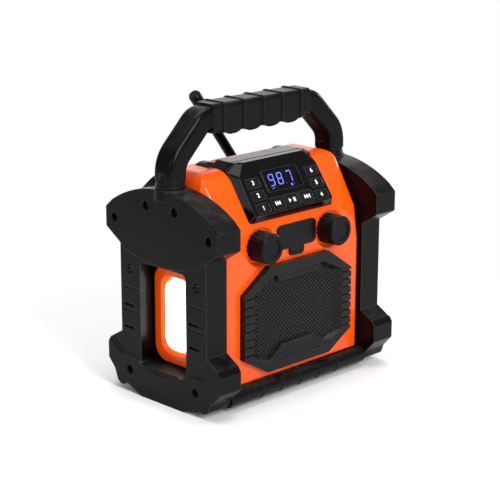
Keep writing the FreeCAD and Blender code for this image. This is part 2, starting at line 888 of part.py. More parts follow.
def top_rounding(name, inset):
    """A front view of the casing with rounded upper corners, deep enough to trim it."""
    half = S.guard_in - inset
    radius = S.top_round_r - inset
    return prism(name, "Y", -S.case_front - 10, S.rear_y + 10, [
        (-half, S.case_floor + inset), (half, S.case_floor + inset),
        (half, S.case_top - inset, radius), (-half, S.case_top - inset, radius)])


def side_bosses(name, places, into):
    """Blocks inside the side walls that take the guards' long screws."""
    for x_side in (-1, 1):
        wall_in = x_side * (S.guard_in - PAST)
        tip = x_side * (S.guard_in - S.boss_reach)
        span = (tip, wall_in) if x_side > 0 else (wall_in, tip)
        for y, z in places:
            boss = rod(name, "X", S.boss_r, span, (y, z))
            web = block(name + "_web", span,
                        (y, into) if Size.of(into).value > Size.of(y).value else (into, y),
                        (z - PAST, z + PAST))
            yield fuse(name + "_pair", [boss, web])


def side_bores(name, places):
    """Holes for the guards' long screws through both side walls."""
    for x_side in (-1, 1):
        ends = sorted((x_side * (S.guard_in + PAST), x_side * (S.guard_in - S.boss_reach - PAST)),
                      key=lambda s: s.value)
        for y, z in places:
            yield rod(name, "X", S.screw_shank_r + S.screw_clear, ends, (y, z))


def case_space(name, inset, rear):
    """The space inside the casing's outer or inner skin."""
    return common(name, case_loft(name + "_loft", inset, rear), top_rounding(name + "_round", inset))


def front_casing():
    """The orange front moulding, open at the rear."""
    outer = case_space("case_outer", Size.of(0), S.split_y)
    inner = case_space("case_inner", S.wall, S.split_y + PAST)
    shell = cut("case_shell", outer, [inner])
    pads = [rod("dish_pad", "Y", S.dish_pad_r, (-S.case_front, -S.dish_pad_back),
                (side * S.knob_x, S.knob_z))
            for side in (-1, 1)]
    pads = common("dish_pads", fuse("dish_pad_pair", pads), outer)
    places = [(-S.column_screw_y, S.column_screw_z), (-S.upper_in_y, S.upper_in_z),
              (S.upper_in_y, S.upper_in_z)]
    bosses = list(side_bosses("case_boss", places[:1], -S.case_front + PAST))
    bosses += list(side_bosses("case_boss_top", places[1:], 0))
    bosses = common("case_bosses", fuse("case_boss_set", bosses), outer)
    posts = [rod("case_post", "Y", S.boss_r, (-S.case_front + PAST, S.split_y),
                 (side * S.rear_screw_x, z))
             for side in (-1, 1) for z in (S.rear_screw_low, S.rear_screw_high)]
    posts = common("case_posts", fuse("case_post_set", posts), outer)
    solid = fuse("case_solid", [shell, pads, posts, bosses])
    tools = list(side_bores("case_bore", places))
    for side in (-1, 1):
        centre = (side * S.knob_x, S.knob_z)
        tools.append(taper("dish", "Y", (S.dish_r, S.dish_floor_r),
                           (-S.case_front, -S.case_front + S.dish_depth), centre))
        tools.append(rod("shaft_hole", "Y", S.shaft_r + S.shaft_clear,
                         (-S.case_front, -S.dish_pad_back + PAST), centre))
        for z in (S.rear_screw_low, S.rear_screw_high):
            tools.append(rod("rear_screw_hole", "Y", S.screw_shank_r + S.screw_clear,
                             (S.split_y - S.rear_screw_length, S.split_y + PAST),
                             (side * S.rear_screw_x, z)))
    tools.append(block("port_hole", (-S.port_half, S.port_half),
                       (-S.case_front - PAST, -S.case_front + S.wall + PAST),
                       (S.port_low, S.port_high)))
    tools.append(rod("speaker_hole", "Y", S.speaker_hole_r,
                     (-S.case_front - PAST, -S.case_front + S.wall + PAST),
                     (0, S.speaker_z)))
    gap = S.skirt_clear
    tools.append(on_panel(prism("skirt_hole", "Y", -1, S.wall + 6, skirt_outline(gap))))
    keep("front_casing", cut("case_front_moulding", solid, tools))


def rear_profile(inset, front):
    """The rear cover's side view."""
    return [
        (front, S.case_floor + inset),
        (S.rear_y - inset, S.case_floor + inset),
        (S.rear_y - inset, S.rear_knee_z),
        (S.rear_top_y, S.case_top - S.rear_top_drop - inset),
        (front, S.case_top - inset),
    ]


def rear_cover():
    """The black rear moulding with the battery opening and the posts of the main board."""
    half = S.guard_in
    outer = common("rear_outer", prism("rear_out", "X", -half, half, rear_profile(Size.of(0), S.split_y)),
                   top_rounding("rear_round", Size.of(0)))
    inner = common("rear_inner", prism("rear_in", "X", -half + S.wall, half - S.wall,
                                       rear_profile(S.wall, S.split_y - PAST)),
                   top_rounding("rear_hollow", S.wall))
    shell = cut("rear_shell", outer, [inner])
    places = [(S.column_screw_y, S.column_screw_z)]
    extra = list(side_bosses("rear_boss", places, S.rear_y - PAST))
    for side in (-1, 1):
        for z in (S.rear_screw_low, S.rear_screw_high):
            extra.append(rod("rear_post", "Y", S.boss_r, (S.split_y, S.rear_y - PAST),
                             (side * S.rear_screw_x, z)))
        for z in (S.post_low, S.post_high):
            extra.append(rod("board_post", "Y", S.post_r, (S.main_y + S.board_thick, S.rear_y - PAST),
                             (side * S.post_x, z)))
        lug_in = S.door_half + S.door_clear
        span = (lug_in, lug_in + S.door_lug) if side > 0 else (-lug_in - S.door_lug, -lug_in)
        extra.append(block("door_lug", span, (S.rear_y - S.door_lug_deep, S.rear_y - PAST),
                           (S.door_low - S.door_lug_low, S.door_low + S.door_lug_deep)))
    for number in range(5):
        z = S.door_high + 8 + number * S.rear_rib_pitch
        extra.append(block("rear_rib", (-S.door_half, S.rear_rib_end),
                           (S.rear_y - SINK, S.rear_y + S.rear_rib_proud), (z, z + S.rear_rib_tall)))
    solid = fuse("rear_solid", [shell] + extra)
    tools = list(side_bores("rear_bore", places))
    tools.append(block("door_hole", (-S.door_half - S.door_clear, S.door_half + S.door_clear),
                       (S.rear_y - S.wall - PAST, S.rear_y + PAST), (S.door_low - S.door_clear,
                                                               S.door_high + S.door_clear)))
    for side in (-1, 1):
        ends = sorted((side * (S.door_half - PAST), side * (S.door_half + S.door_pin_length - 3)),
                      key=lambda s: s.value)
        tools.append(rod("door_pin_hole", "X", S.door_pin_r, ends, (DOOR_AXIS_Y, DOOR_AXIS_Z)))
        for z in (S.rear_screw_low, S.rear_screw_high):
            spot = (side * S.rear_screw_x, z)
            tools.append(rod("rear_screw_sink", "Y", S.screw_recess_r, (REAR_SCREW_SEAT, S.rear_y + PAST),
                             spot))
            tools.append(rod("rear_screw_bore", "Y", S.screw_shank_r + S.screw_clear,
                             (S.split_y - PAST, S.rear_y), spot))
    tools.append(rod("spigot_hole", "Y", S.spigot_r + S.shaft_clear,
                     (S.rear_y - S.wall - PAST, S.rear_y + PAST),
                     (S.antenna_x, S.antenna_z)))
    keep("rear_cover", cut("rear_moulding", solid, tools))


REAR_SCREW_SEAT = S.rear_y - S.screw_recess_h
DOOR_AXIS_Y = S.rear_y - S.door_barrel_r - SLACK
DOOR_AXIS_Z = S.door_low + S.door_barrel_r


def rear_screws():
    """Four screws that pull the rear cover to the front casing."""
    screws = []
    for side in (-1, 1):
        for z in (S.rear_screw_low, S.rear_screw_high):
            spot = (side * S.rear_screw_x, z)
            head = rod("rear_head", "Y", S.screw_head_r,
                       (REAR_SCREW_SEAT, REAR_SCREW_SEAT + S.screw_head_h), spot)
            shank = rod("rear_shank", "Y", S.screw_shank_r,
                        (S.split_y - S.rear_screw_length + PAST, REAR_SCREW_SEAT + SINK), spot)
            screws.append(fuse("rear_screw", [head, shank]))
    keep("rear_screws", group("rear_screw_set", screws))


def battery():
    """The door on its pins, and the tray with two cells behind it."""
    back = S.rear_y - S.door_thick
    panel = prism("door_panel", "Y", back, S.rear_y, [
        (-S.door_half, DOOR_AXIS_Z), (S.door_half, DOOR_AXIS_Z), (S.door_half, S.door_high, 3),
        (-S.door_half, S.door_high, 3)])
    barrel = rod("door_barrel", "X", S.door_barrel_r, (-S.door_half, S.door_half),
                 (DOOR_AXIS_Y, DOOR_AXIS_Z))
    grip_low = S.door_high - S.door_grip_drop
    grip_front = S.rear_y + S.door_grip_proud
    grip = prism("door_grip", "X", -S.door_grip_half, S.door_grip_half, [
        (S.rear_y - SINK, grip_low), (grip_front, grip_low + S.rear_rib_tall),
        (grip_front, grip_low + 5), (S.rear_y - SINK, grip_low + 6)])
    ribs = []
    for number in range(3):
        low = S.door_low + 12 + number * S.rear_rib_pitch
        ribs.append(block("door_rib", (-S.door_half + S.door_rib_in, S.door_half - S.door_rib_in),
                          (S.rear_y - SINK, S.rear_y + S.rear_rib_proud), (low, low + S.rear_rib_tall)))
    bores = [rod("door_bore", "X", S.door_pin_r + S.pin_clear,
                 sorted((side * (S.door_half - S.door_pin_length / 2), side * (S.door_half + PAST)),
                        key=lambda s: s.value), (DOOR_AXIS_Y, DOOR_AXIS_Z)) for side in (-1, 1)]
    keep("battery_door", cut("door", fuse("door_solid", [panel, barrel, grip] + ribs), bores))
    pins = []
    for side in (-1, 1):
        middle = side * S.door_half
        ends = sorted((middle - side * (S.door_pin_length / 2 - SINK),
                       middle + side * (S.door_pin_length - 3)),
                      key=lambda s: s.value)
        pins.append(rod("door_pin", "X", S.door_pin_r, ends, (DOOR_AXIS_Y, DOOR_AXIS_Z)))
    keep("battery_door_pins", group("door_pins", pins))
    rear = S.rear_y - S.wall
    front = rear - S.tray_depth
    tray = block("tray_blank", (-S.tray_half, S.tray_half), (front, rear), (S.tray_low, S.tray_high))
    hollow = block("tray_hollow", (-S.tray_half + S.tray_wall, S.tray_half - S.tray_wall),
                   (front + S.tray_wall, rear + PAST), (S.tray_low + S.tray_wall,
                                                        S.tray_high - S.tray_wall))
    keep("battery_tray", cut("tray", tray, [hollow]))
    cell_y = front + S.tray_wall + S.cell_r + 0.1
    lowest = S.tray_low + S.tray_wall + S.cell_r + 0.1
    highest = S.tray_high - S.tray_wall - S.cell_r - 0.1
    cells = [rod("cell", "X", S.cell_r, (-S.cell_length / 2, S.cell_length / 2), (cell_y, z))
             for z in (lowest, highest)]
    half = S.contact_half
    reach = S.tray_half - S.tray_wall - S.contact_gap
    contacts = [block("contact", (side * S.cell_length / 2, side * reach) if side > 0 else
                      (side * reach, side * S.cell_length / 2), (cell_y - half, cell_y + half),
                      (lowest - half, highest + half)) for side in (-1, 1)]
    keep("battery_cells", group("cells", cells))
    keep("battery_contacts", group("contacts", contacts))


# Handle and rails.

def handle():
    """The bent frame, its grip, and the collars where it enters the guards."""
    reach = S.leg_x - (S.handle_z - S.arm_bend_z)
    spine = outline("arm_path", "Y", 0, [
        (-S.leg_x, S.arm_foot_z), (-S.leg_x, S.arm_bend_z, S.bend_low_r),
        (-reach, S.handle_z, S.bend_high_r),
        (-S.grip_half, S.handle_z)], closed=False)
    half_thick, half_deep = S.arm_thick / 2, S.arm_deep / 2
    profile = outline("arm_section", "Z", S.arm_foot_z, [
        (-S.leg_x - half_thick, -half_deep, S.arm_corner_r), (-S.leg_x + half_thick, -half_deep,
                                                              S.arm_corner_r),
        (-S.leg_x + half_thick, half_deep, S.arm_corner_r), (-S.leg_x - half_thick, half_deep,
                                                             S.arm_corner_r)])
    DOC.recompute()
    arm = DOC.addObject("Part::Sweep", "arm")
    arm.Sections = [profile]
    arm.Spine = (spine, [f"Edge{number}" for number in range(1, len(spine.Shape.Edges) + 1)])
    arm.Solid = True
    arm.Frenet = False
    leg = rod("leg", "Z", S.leg_r, (S.lobe_top - S.leg_depth + SLACK, S.arm_foot_z + 6), (-S.leg_x, 0))
    left = fuse("handle_half", [arm, leg])
    core = rod("handle_core", "X", S.core_r, (-S.grip_half - 2, S.grip_half + 2), (0, S.handle_z))
    keep("handle_frame", fuse("handle", [left, mirrored("handle_half_right", left), core]))
    handle_grip()
    low = LEG_SEAT_Z
    middle = low + S.collar_low_h
    high = middle + S.collar_gap_h
    rings = [
        rod("collar_low", "Z", S.collar_r, (low, middle), (-S.leg_x, 0)),
        rod("collar_groove", "Z", S.collar_r - 1.2, (middle, high), (-S.leg_x, 0)),
        rod("collar_high", "Z", S.collar_r - 0.4, (high, high + S.collar_high_h), (-S.leg_x, 0)),
    ]
    bore = rod("collar_bore", "Z", S.leg_r + S.leg_clear, (low - PAST, S.arm_foot_z), (-S.leg_x, 0))
    collar = cut("collar", fuse("collar_rings", rings), [bore])
    keep("handle_collars", group("collar_pair", [collar, mirrored("collar_right", collar)]))


def grip_section(grow, drop):
    """The grip's rounded section, grown all round and dropped below."""
    half_deep = S.grip_deep / 2 + grow
    top = S.handle_z + S.grip_tall / 2 + grow
    bottom = S.handle_z - S.grip_tall / 2 - grow - drop
    radius = S.grip_corner_r
    return [(-half_deep, bottom, radius), (half_deep, bottom, radius), (half_deep, top, radius),
            (-half_deep, top, radius)]


def handle_grip():
    """The soft sleeve: ridge bands, and four lobes below for the fingers."""
    sleeve = prism("grip_sleeve", "X", -S.grip_half, S.grip_half, grip_section(Size.of(0), 0))
    deep = prism("grip_deep_section", "X", -S.grip_half, S.grip_half,
                 grip_section(Size.of(0), S.lobe_drop))
    bottom = S.handle_z - S.grip_tall / 2 - S.lobe_drop
    wheels = [rod("finger_lobe", "Y", S.lobe_r, (-S.grip_deep, S.grip_deep),
                  ((number - 1.5) * S.finger_pitch, bottom + S.lobe_r)) for number in range(4)]
    lobes = common("finger_lobes", fuse("finger_wheels", wheels), deep)
    bands = [prism("grip_band", "X", number * S.finger_pitch - S.band_wide / 2,
                   number * S.finger_pitch + S.band_wide / 2, grip_section(S.band_proud, 0))
             for number in range(-2, 3)]
    bore = rod("grip_bore", "X", S.core_r + S.core_clear, (-S.grip_half - PAST, S.grip_half + PAST),
               (0, S.handle_z))
    keep("handle_grip", cut("grip", fuse("grip_solid", [sleeve, lobes] + bands), [bore]))


def rails():
    """A tube and a banded sleeve between the feet, at the front and at the rear."""
    for side, name in ((-1, "front"), (1, "rear")):
        spot = (side * S.rail_y, S.rail_z)
        ends = S.guard_in + S.rail_seat - 1
        keep(f"{name}_rail_tube", rod("rail_tube", "X", S.rail_tube_r, (-ends, ends), spot))
        sleeve = rod("rail_sleeve", "X", S.rail_r, (-S.guard_in, S.guard_in), spot)
        bands = [rod("rail_band", "X", S.rail_r + S.rail_band_proud,
                     (number * S.finger_pitch - S.band_wide / 2,
                      number * S.finger_pitch + S.band_wide / 2), spot)
                 for number in range(-2, 3)]
        bore = rod("rail_sleeve_bore", "X", S.rail_tube_r + S.rail_clear,
                   (-S.guard_in - PAST, S.guard_in + PAST),
                   spot)
        keep(f"{name}_rail_sleeve", cut("rail_grip", fuse("rail_grip_solid", [sleeve] + bands), [bore]))


# Display. Built upright with the leaning face as X-Z and its outward side at negative Y, then leant back.

def on_panel(body):
    """Lean a solid back and set it on the casing's sloping face."""
    turn = FreeCAD.Rotation(VECTOR(1, 0, 0), -S.lean.value)
    return place(body, 0, -S.case_front + lean_setback(S.panel_low_z), S.panel_low_z, turn)


def key_places():
    """Every button as (name, across, up the slope, height)."""
    for row in range(3):
        up = S.key_low + row * S.key_pitch
        yield f"button_{row + 1}", -S.key_side_x, up, S.key_tall
        yield f"button_{row + 4}", S.key_side_x, up, S.key_tall
    for number, name in enumerate(("back", "play", "next")):
        yield f"{name}_button", (number - 1) * S.key_row_pitch, S.key_row_up, S.key_row_tall


def skirt_outline(grow):
    """The skirt behind the panel, which enters the casing's opening."""
    half = S.skirt_half + grow
    low, high = S.skirt_low - grow, S.skirt_high + grow
    return [(-half, low), (half, low), (half, high), (-half, high)]


def key_block(name, across, up, tall, grow, span):
    """A rounded block the size of one button, grown all round."""
    half = S.key_wide / 2 + grow
    rise = tall / 2 + grow
    return prism(name, "Y", -span[1], -span[0], [
        (across - half, up - rise, S.key_corner_r), (across + half, up - rise, S.key_corner_r),
        (across + half, up + rise, S.key_corner_r), (across - half, up + rise, S.key_corner_r)])


def panel_outline(halves, foot, shoulder, top):
    """The panel's face or base, with its upper corners cut back.

    The half widths are those at the foot, at the shoulder and at the top.
    """
    low_half, high_half, inner = halves
    return [
        (-low_half, foot, S.panel_corner_r), (low_half, foot, S.panel_corner_r),
        (high_half, shoulder, S.panel_shoulder_r), (inner, top, S.panel_shoulder_r),
        (-inner, top, S.panel_shoulder_r), (-high_half, shoulder, S.panel_shoulder_r)]


def deck_and_pads(base, top):
    """What of the housing stands on the rounded top of the casing: root, flat deck and two pads."""
    low = S.case_top - S.deck_sink
    step = S.case_top + S.deck_step
    root = on_panel(prism("panel_root", "Y", -0.5, S.deck_sink, base))
    deck = prism("deck", "Y", -S.deck_front, S.deck_rear, [
        (-S.deck_foot_half, low), (S.deck_foot_half, low), (S.deck_foot_half, step), (S.deck_half, top),
        (-S.deck_half, top), (-S.deck_foot_half, step)])
    pads = []
    for side in (-1, 1):
        centre = side * S.pad_x
        half = S.pad_length / 2
        pads.append(prism("deck_pad", "Y", S.deck_rear - PAST, S.pad_rear, [
            (centre - half, low), (centre + half, low), (centre + half, step),
            Via(centre, S.case_top + S.pad_proud), (centre - half, step)]))
    return cut("crown", fuse("crown_blank", [root, deck] + pads),
               [case_space("crown_trim", Size.of(0), S.split_y)])


def display_housing():
    """The leaning panel with its bevelled sides, flat deck, skirt and key holes."""
    deck_rise = S.panel_out * S.lean.tan()
    base = panel_outline((S.panel_base_low, S.panel_base_high, S.deck_half), -S.panel_foot,
                         S.panel_base_shoulder, S.panel_face_top + deck_rise)
    face = panel_outline((S.panel_face_low, S.panel_face_high, S.panel_top_half), S.panel_face_foot,
                         S.panel_shoulder, S.panel_face_top)
    body = on_panel(loft("panel_block", [
        outline("panel_base", "Y", 0, base), outline("panel_face", "Y", -S.panel_out, face)]))
    skirt = on_panel(prism("skirt", "Y", -0.5, S.panel_skirt, skirt_outline(Size.of(0))))
    top = S.panel_low_z + S.panel_face_top * S.lean.cos() + S.panel_out * S.lean.tan() * S.lean.cos()
    solid = fuse("panel_solid", [body, skirt, deck_and_pads(base, top)])
    tools = [prism("panel_hollow", "Y", -S.panel_out + S.panel_skin, S.panel_skirt + PAST,
                   skirt_outline(-S.skirt_wall))]
    tools.append(window_block("window_hole", Size.of(0), (-1, S.panel_out + PAST)))
    for name, across, up, tall in key_places():
        tools.append(key_block(name + "_hole", across, up, tall, S.key_clear, (0, S.panel_out + PAST)))
    pierced = cut("panel_pierced", solid, [on_panel(tool) for tool in tools])
    front_half = block("panel_trim", (-S.guard_in, S.guard_in), (-S.case_front, S.split_y),
                       (S.case_floor, top + S.deck_sink))
    keep("display_housing", common("panel", pierced, front_half))


def window_block(name, grow, span):
    """A block the size of the display window, grown all round."""
    half = S.lcd_half + grow
    return prism(name, "Y", -span[1], -span[0], [
        (-half, S.lcd_low - grow), (half, S.lcd_low - grow), (half, S.lcd_high + grow),
        (-half, S.lcd_high + grow)])


def display_inside():
    """The window, the LCD module, the key board with its switches, and the buttons."""
    under = S.panel_out - S.panel_skin
    keep("display_window", on_panel(window_block("window", Size.of(-0.05), (under, S.panel_out - SLACK))))
    keep("lcd_module", on_panel(window_block("lcd", S.lcd_margin, (-S.panel_skirt, under))))
    board = prism("key_board", "Y", S.panel_skirt, S.panel_skirt + S.board_thick,
                  skirt_outline(-S.skirt_clear))
    flange_out = under - SLACK
    stem_end = flange_out - S.key_flange_h - 1.5
    half = S.switch_size / 2
    switches = []
    for name, across, up, tall in key_places():
        cap = key_block(name + "_cap", across, up, tall, 0,
                        (flange_out - SINK, S.panel_out + S.key_proud))
        flange = key_block(name + "_flange", across, up, tall, S.key_flange,
                           (flange_out - S.key_flange_h, flange_out))
        stem = block(name + "_stem", (across - S.key_stem / 2, across + S.key_stem / 2),
                     (-flange_out, -stem_end), (up - S.key_stem / 2, up + S.key_stem / 2))
        keep(name, on_panel(fuse(name + "_solid", [cap, flange, stem])))
        switches.append(block(name + "_switch", (across - half, across + half),
                              (-(stem_end - S.key_travel - S.key_gap), S.panel_skirt),
                              (up - half, up + half)))
    keep("keypad_board", on_panel(fuse("board_with_switches", [board] + switches)))


# Knobs.

def knob(side, name, encoder_name):
    """A fluted knob on a steel shaft, and the body that the shaft turns in."""
    centre = (side * S.knob_x, S.knob_z)
    base = -S.case_front + S.dish_depth - S.knob_clear
    front = -S.knob_front
    skirt = taper(name + "_skirt", "Y", (S.knob_r - S.knob_taper, S.knob_r), (front + S.knob_bevel, base),
                  centre)
    nose = taper(name + "_nose", "Y", (S.knob_r - S.knob_taper - S.knob_bevel, S.knob_r - S.knob_taper),
                 (front, front + S.knob_bevel), centre)
    tools = [rod(name + "_dimple", "Y", S.knob_dimple_r, (front - PAST, front + S.knob_dimple), centre),
             rod(name + "_bore", "Y", S.shaft_r + 0.02, (front + 3, base + PAST), centre)]
    for number in range(int(S.flute_count.value)):
        angle = 2 * math.pi * number / S.flute_count.value
        tools.append(rod(name + "_flute", "Y", S.flute_r, (front + 2.5, base + PAST),
                         (centre[0] + math.cos(angle) * (S.knob_r + 0.4),
                          centre[1] + math.sin(angle) * (S.knob_r + 0.4))))
    keep(name, cut(name + "_turned", fuse(name + "_blank", [skirt, nose]), tools))
    back = -S.dish_pad_back
    keep(name + "_shaft",
         rod(name + "_spindle", "Y", S.shaft_r, (front + 3.2, back + S.encoder_deep - PAST), centre))
    half = S.encoder_size / 2
    case = block(encoder_name + "_case", (centre[0] - half, centre[0] + half),
                 (back, back + S.encoder_deep),
                 (centre[1] - half, centre[1] + half))
    keep(encoder_name, cut(encoder_name + "_body", case, [
        rod(encoder_name + "_bore", "Y", S.shaft_r + S.shaft_clear,
            (back - PAST, back + S.encoder_deep - 0.7),
            centre)]))


# Ports between the knobs.

def ports():
    """The socket panel, its sockets, and the rubber cover over them."""
    face = -S.case_front + S.port_sink
    back = -S.case_front + S.wall
    plate = block("port_plate", (-S.port_half, S.port_half), (face, back + S.port_flange),
                  (S.port_low, S.port_high))
    flange = block("port_rim", (-S.port_half - 1.5, S.port_half + 1.5), (back, back + S.port_flange),
                   (S.port_low - 1.5, S.port_high + PAST))
    middle = (S.port_low + S.port_high) / 2
    usb_x = (-S.usb_x - S.usb_wide / 2, -S.usb_x + S.usb_wide / 2)
    usb_z = (middle - S.usb_tall / 2, middle + S.usb_tall / 2)
    jacks = [S.jack_x + number * S.jack_pitch - S.jack_pitch / 2 for number in range(2)]
    tools = [block("usb_slot", usb_x, (face - PAST, back + S.port_flange + PAST), usb_z)]
    tools += [rod("jack_slot", "Y", S.jack_r, (face - PAST, back + S.port_flange + PAST),
                  (x, middle)) for x in jacks]
    keep("port_panel", cut("port_plate_cut", fuse("port_blank", [plate, flange]), tools))
    shell = block("usb_shell", usb_x, (face, face + S.usb_deep), usb_z)
    hollow = block("usb_hollow", (usb_x[0] + S.usb_skin, usb_x[1] - S.usb_skin),
                   (face - PAST, face + S.usb_deep - 2),
                   (usb_z[0] + S.usb_skin, usb_z[1] - S.usb_skin))
    tongue = block("usb_tongue", (usb_x[0] + 1, usb_x[1] - 1), (face + 1.5, face + S.usb_deep - PAST),
                   (middle + 0.2, middle + 1.9))
    keep("usb_socket", fuse("usb", [cut("usb_can", shell, [hollow]), tongue]))
    keep("round_jacks", group("jacks", [
        cut("jack", rod("jack_body", "Y", S.jack_r, (face, face + S.jack_deep), (x, middle)),
            [rod("jack_bore", "Y", S.jack_bore_r, (face - PAST, face + S.jack_deep - 1.5), (x, middle))])
        for x in jacks]))
    front = -S.case_front - S.cover_gap - S.cover_thick
    flap = prism("cover_flap", "Y", front, front + S.cover_thick, [
        (-S.cover_half, S.cover_low, S.cover_corner_r),
        (-S.tab_half, S.cover_low), (-S.tab_half, S.tab_low, 3), (S.tab_half, S.tab_low, 3),
        (S.tab_half, S.cover_low), (S.cover_half, S.cover_low, S.cover_corner_r),
        (S.cover_half, S.cover_high, S.cover_corner_r), (-S.cover_half, S.cover_high, S.cover_corner_r)])
    plug = block("cover_plug", (-S.port_half + PAST, S.port_half - PAST),
                 (front + S.cover_thick - SINK, face - SLACK),
                 (S.port_low + PAST, S.port_high - 3.5))
    lip = block("cover_lip", (-S.tab_half + 2, S.tab_half - 2), (front - 0.8, front + SINK),
                (S.tab_low + 1.6, S.tab_low + 2.8))
    keep("port_cover", fuse("cover", [flap, plug, lip]))


# Grille and speaker.

def octagon(grow, end_grow):
    """The grille's eight-sided outline, moved out by the given amounts (in, if negative)."""
    half = S.grille_half + grow
    top, bottom = S.grille_top + end_grow, S.grille_bottom - end_grow
    slide = grow * 0.5
    return [
        (-S.grille_bottom_half - slide, bottom), (S.grille_bottom_half + slide, bottom),
        (half, S.grille_low),
        (half, S.grille_high), (S.grille_top_half + slide, top), (-S.grille_top_half - slide, top),
        (-half, S.grille_high), (-half, S.grille_low)]


def grille():
    """The finned frame and the slotted mesh behind it."""
    front = -S.case_front - S.grille_proud
    back = -S.case_front - S.mesh_gap - S.mesh_thick
    blank = prism("grille_blank", "Y", front, -S.case_front, octagon(Size.of(0), Size.of(0)))
    mouth = loft("grille_mouth", [
        outline("mouth_front", "Y", front, octagon(-S.grille_rim, -S.grille_rim_end)),
        outline("mouth_back", "Y", back, octagon(-S.grille_rim - S.grille_taper,
                                                 -S.grille_rim_end - S.grille_taper_end))])
    seat = prism("mesh_seat", "Y", back, -S.case_front + PAST,
                 octagon(-S.grille_rim + 0.2, -S.grille_rim_end + 0.2))
    tools = [mouth, seat]
    for side in (-1, 1):
        ends = sorted((side * (S.grille_half + PAST), side * (S.grille_half - S.grille_rim - PAST)),
                      key=lambda s: s.value)
        for number in range(int(S.fin_count.value)):
            z = S.fin_low + number * S.fin_pitch
            tools.append(block("fin_slot", ends, (front - PAST, front + S.fin_deep),
                               (z - S.fin_slot / 2, z + S.fin_slot / 2)))
    frame = cut("grille_ring", blank, tools)
    keep("grille_frame", fuse("grille_with_bars", [frame] + list(grille_bars(back))))
    plate = prism("mesh_plate", "Y", back, -S.case_front - S.mesh_gap,
                  octagon(-S.grille_rim, -S.grille_rim_end))
    field = prism("mesh_field", "Y", back - PAST, -S.case_front + PAST,
                  octagon(-S.grille_rim - S.grille_taper - S.mesh_margin, -S.grille_rim_end - 11))
    reach = S.grille_half.value + S.grille_top.value
    count = int(reach / S.mesh_pitch.value / 2)
    slots = []
    for number in range(-count, count + 1):
        strip = DOC.addObject("Part::Box", "mesh_strip")
        bind(strip, "Length", S.mesh_slot)
        bind(strip, "Width", S.mesh_thick * 6)
        bind(strip, "Height", S.grille_top * 2)
        place(strip, number * S.mesh_pitch * math.sqrt(2) - S.grille_top, back - 2,
              S.speaker_z - S.grille_top,
              FreeCAD.Rotation(VECTOR(0, 1, 0), 45))
        slots.append(strip)
    slots = common("mesh_slots", fuse("mesh_strips", slots), field)
    keep("grille_mesh", cut("mesh", plate, [slots]))


def grille_bars(back):
    """The grooved bars across the top and the bottom of the grille's mouth."""
    top = S.grille_top - S.grille_rim_end + 0.5
    bottom = S.grille_bottom + S.grille_rim_end - 0.5
    face = back - S.bar_proud
    upper = prism("bar_top", "Y", face, back, [
        (-S.bar_top_half + 4, top - S.bar_top_tall), (S.bar_top_half - 4, top - S.bar_top_tall),
        (S.bar_top_half, top), (-S.bar_top_half, top)])
    lower = prism("bar_low", "Y", face, back, [
        (-S.bar_low_half, bottom), (S.bar_low_half, bottom),
        (S.bar_low_top_half, bottom + S.bar_low_tall), (-S.bar_low_top_half, bottom + S.bar_low_tall)])
    grooves = [block("bar_groove", (-S.bar_low_half, S.bar_low_half), (face - PAST, face + S.bar_groove),
                     (z - S.bar_groove / 2, z + S.bar_groove / 2))
               for z in [top - 2 - number * 1.9 for number in range(3)]]
    yield cut("bar_top_grooved", upper, grooves)
    grooves = [block("bar_groove", (-S.bar_low_half, S.bar_low_half), (face - PAST, face + S.bar_groove),
                     (z - S.bar_groove / 2, z + S.bar_groove / 2))
               for z in [bottom + 3.5 + number * 2.4 for number in range(4)]]
    yield cut("bar_low_grooved", lower, grooves)


def speaker():
    """The gasket, basket, paper cone and magnet of the loudspeaker."""
    centre = (0, S.speaker_z)
    wall_back = -S.case_front + S.wall
    seat = wall_back + S.gasket_thick
    keep("speaker_gasket", cut("gasket", rod("gasket_disc", "Y", S.speaker_r, (wall_back, seat), centre),
                               [rod("gasket_hole", "Y", S.speaker_hole_r, (wall_back - PAST, seat + PAST),
                                    centre)]))
    flange_back = seat + S.basket_flange
    neck = flange_back + S.basket_deep
    flange = rod("basket_rim", "Y", S.speaker_r, (seat, flange_back), centre)
    funnel = taper("basket_funnel", "Y", (S.speaker_hole_r, S.basket_neck_r), (flange_back - SINK, neck),
                   centre)
    hollow = taper("basket_hollow", "Y",
                   (S.speaker_hole_r - S.basket_skin, S.basket_neck_r - S.basket_skin),
                   (flange_back - SINK, neck), centre)
    mouth = rod("basket_mouth", "Y", S.speaker_hole_r - S.basket_skin, (seat - PAST, flange_back), centre)
    keep("speaker_basket", cut("basket", fuse("basket_solid", [flange, funnel]), [hollow, mouth]))
    rim = S.speaker_hole_r - S.basket_skin - SLACK
    start = seat + SLACK
    skin = S.cone_skin
    outer = taper("cone_outer", "Y", (rim, S.cone_neck_r), (start, start + S.cone_deep), centre)
    inner = taper("cone_inner", "Y", (rim - skin, S.cone_neck_r - skin),
                  (start - 0.01, start + S.cone_deep - skin),
                  centre)
    keep("speaker_cone", cut("cone", outer, [inner]))
    keep("speaker_magnet", rod("magnet", "Y", S.magnet_r, (neck, neck + S.magnet_thick), centre))


# Ends: the lamp on the left, a closed panel on the right.

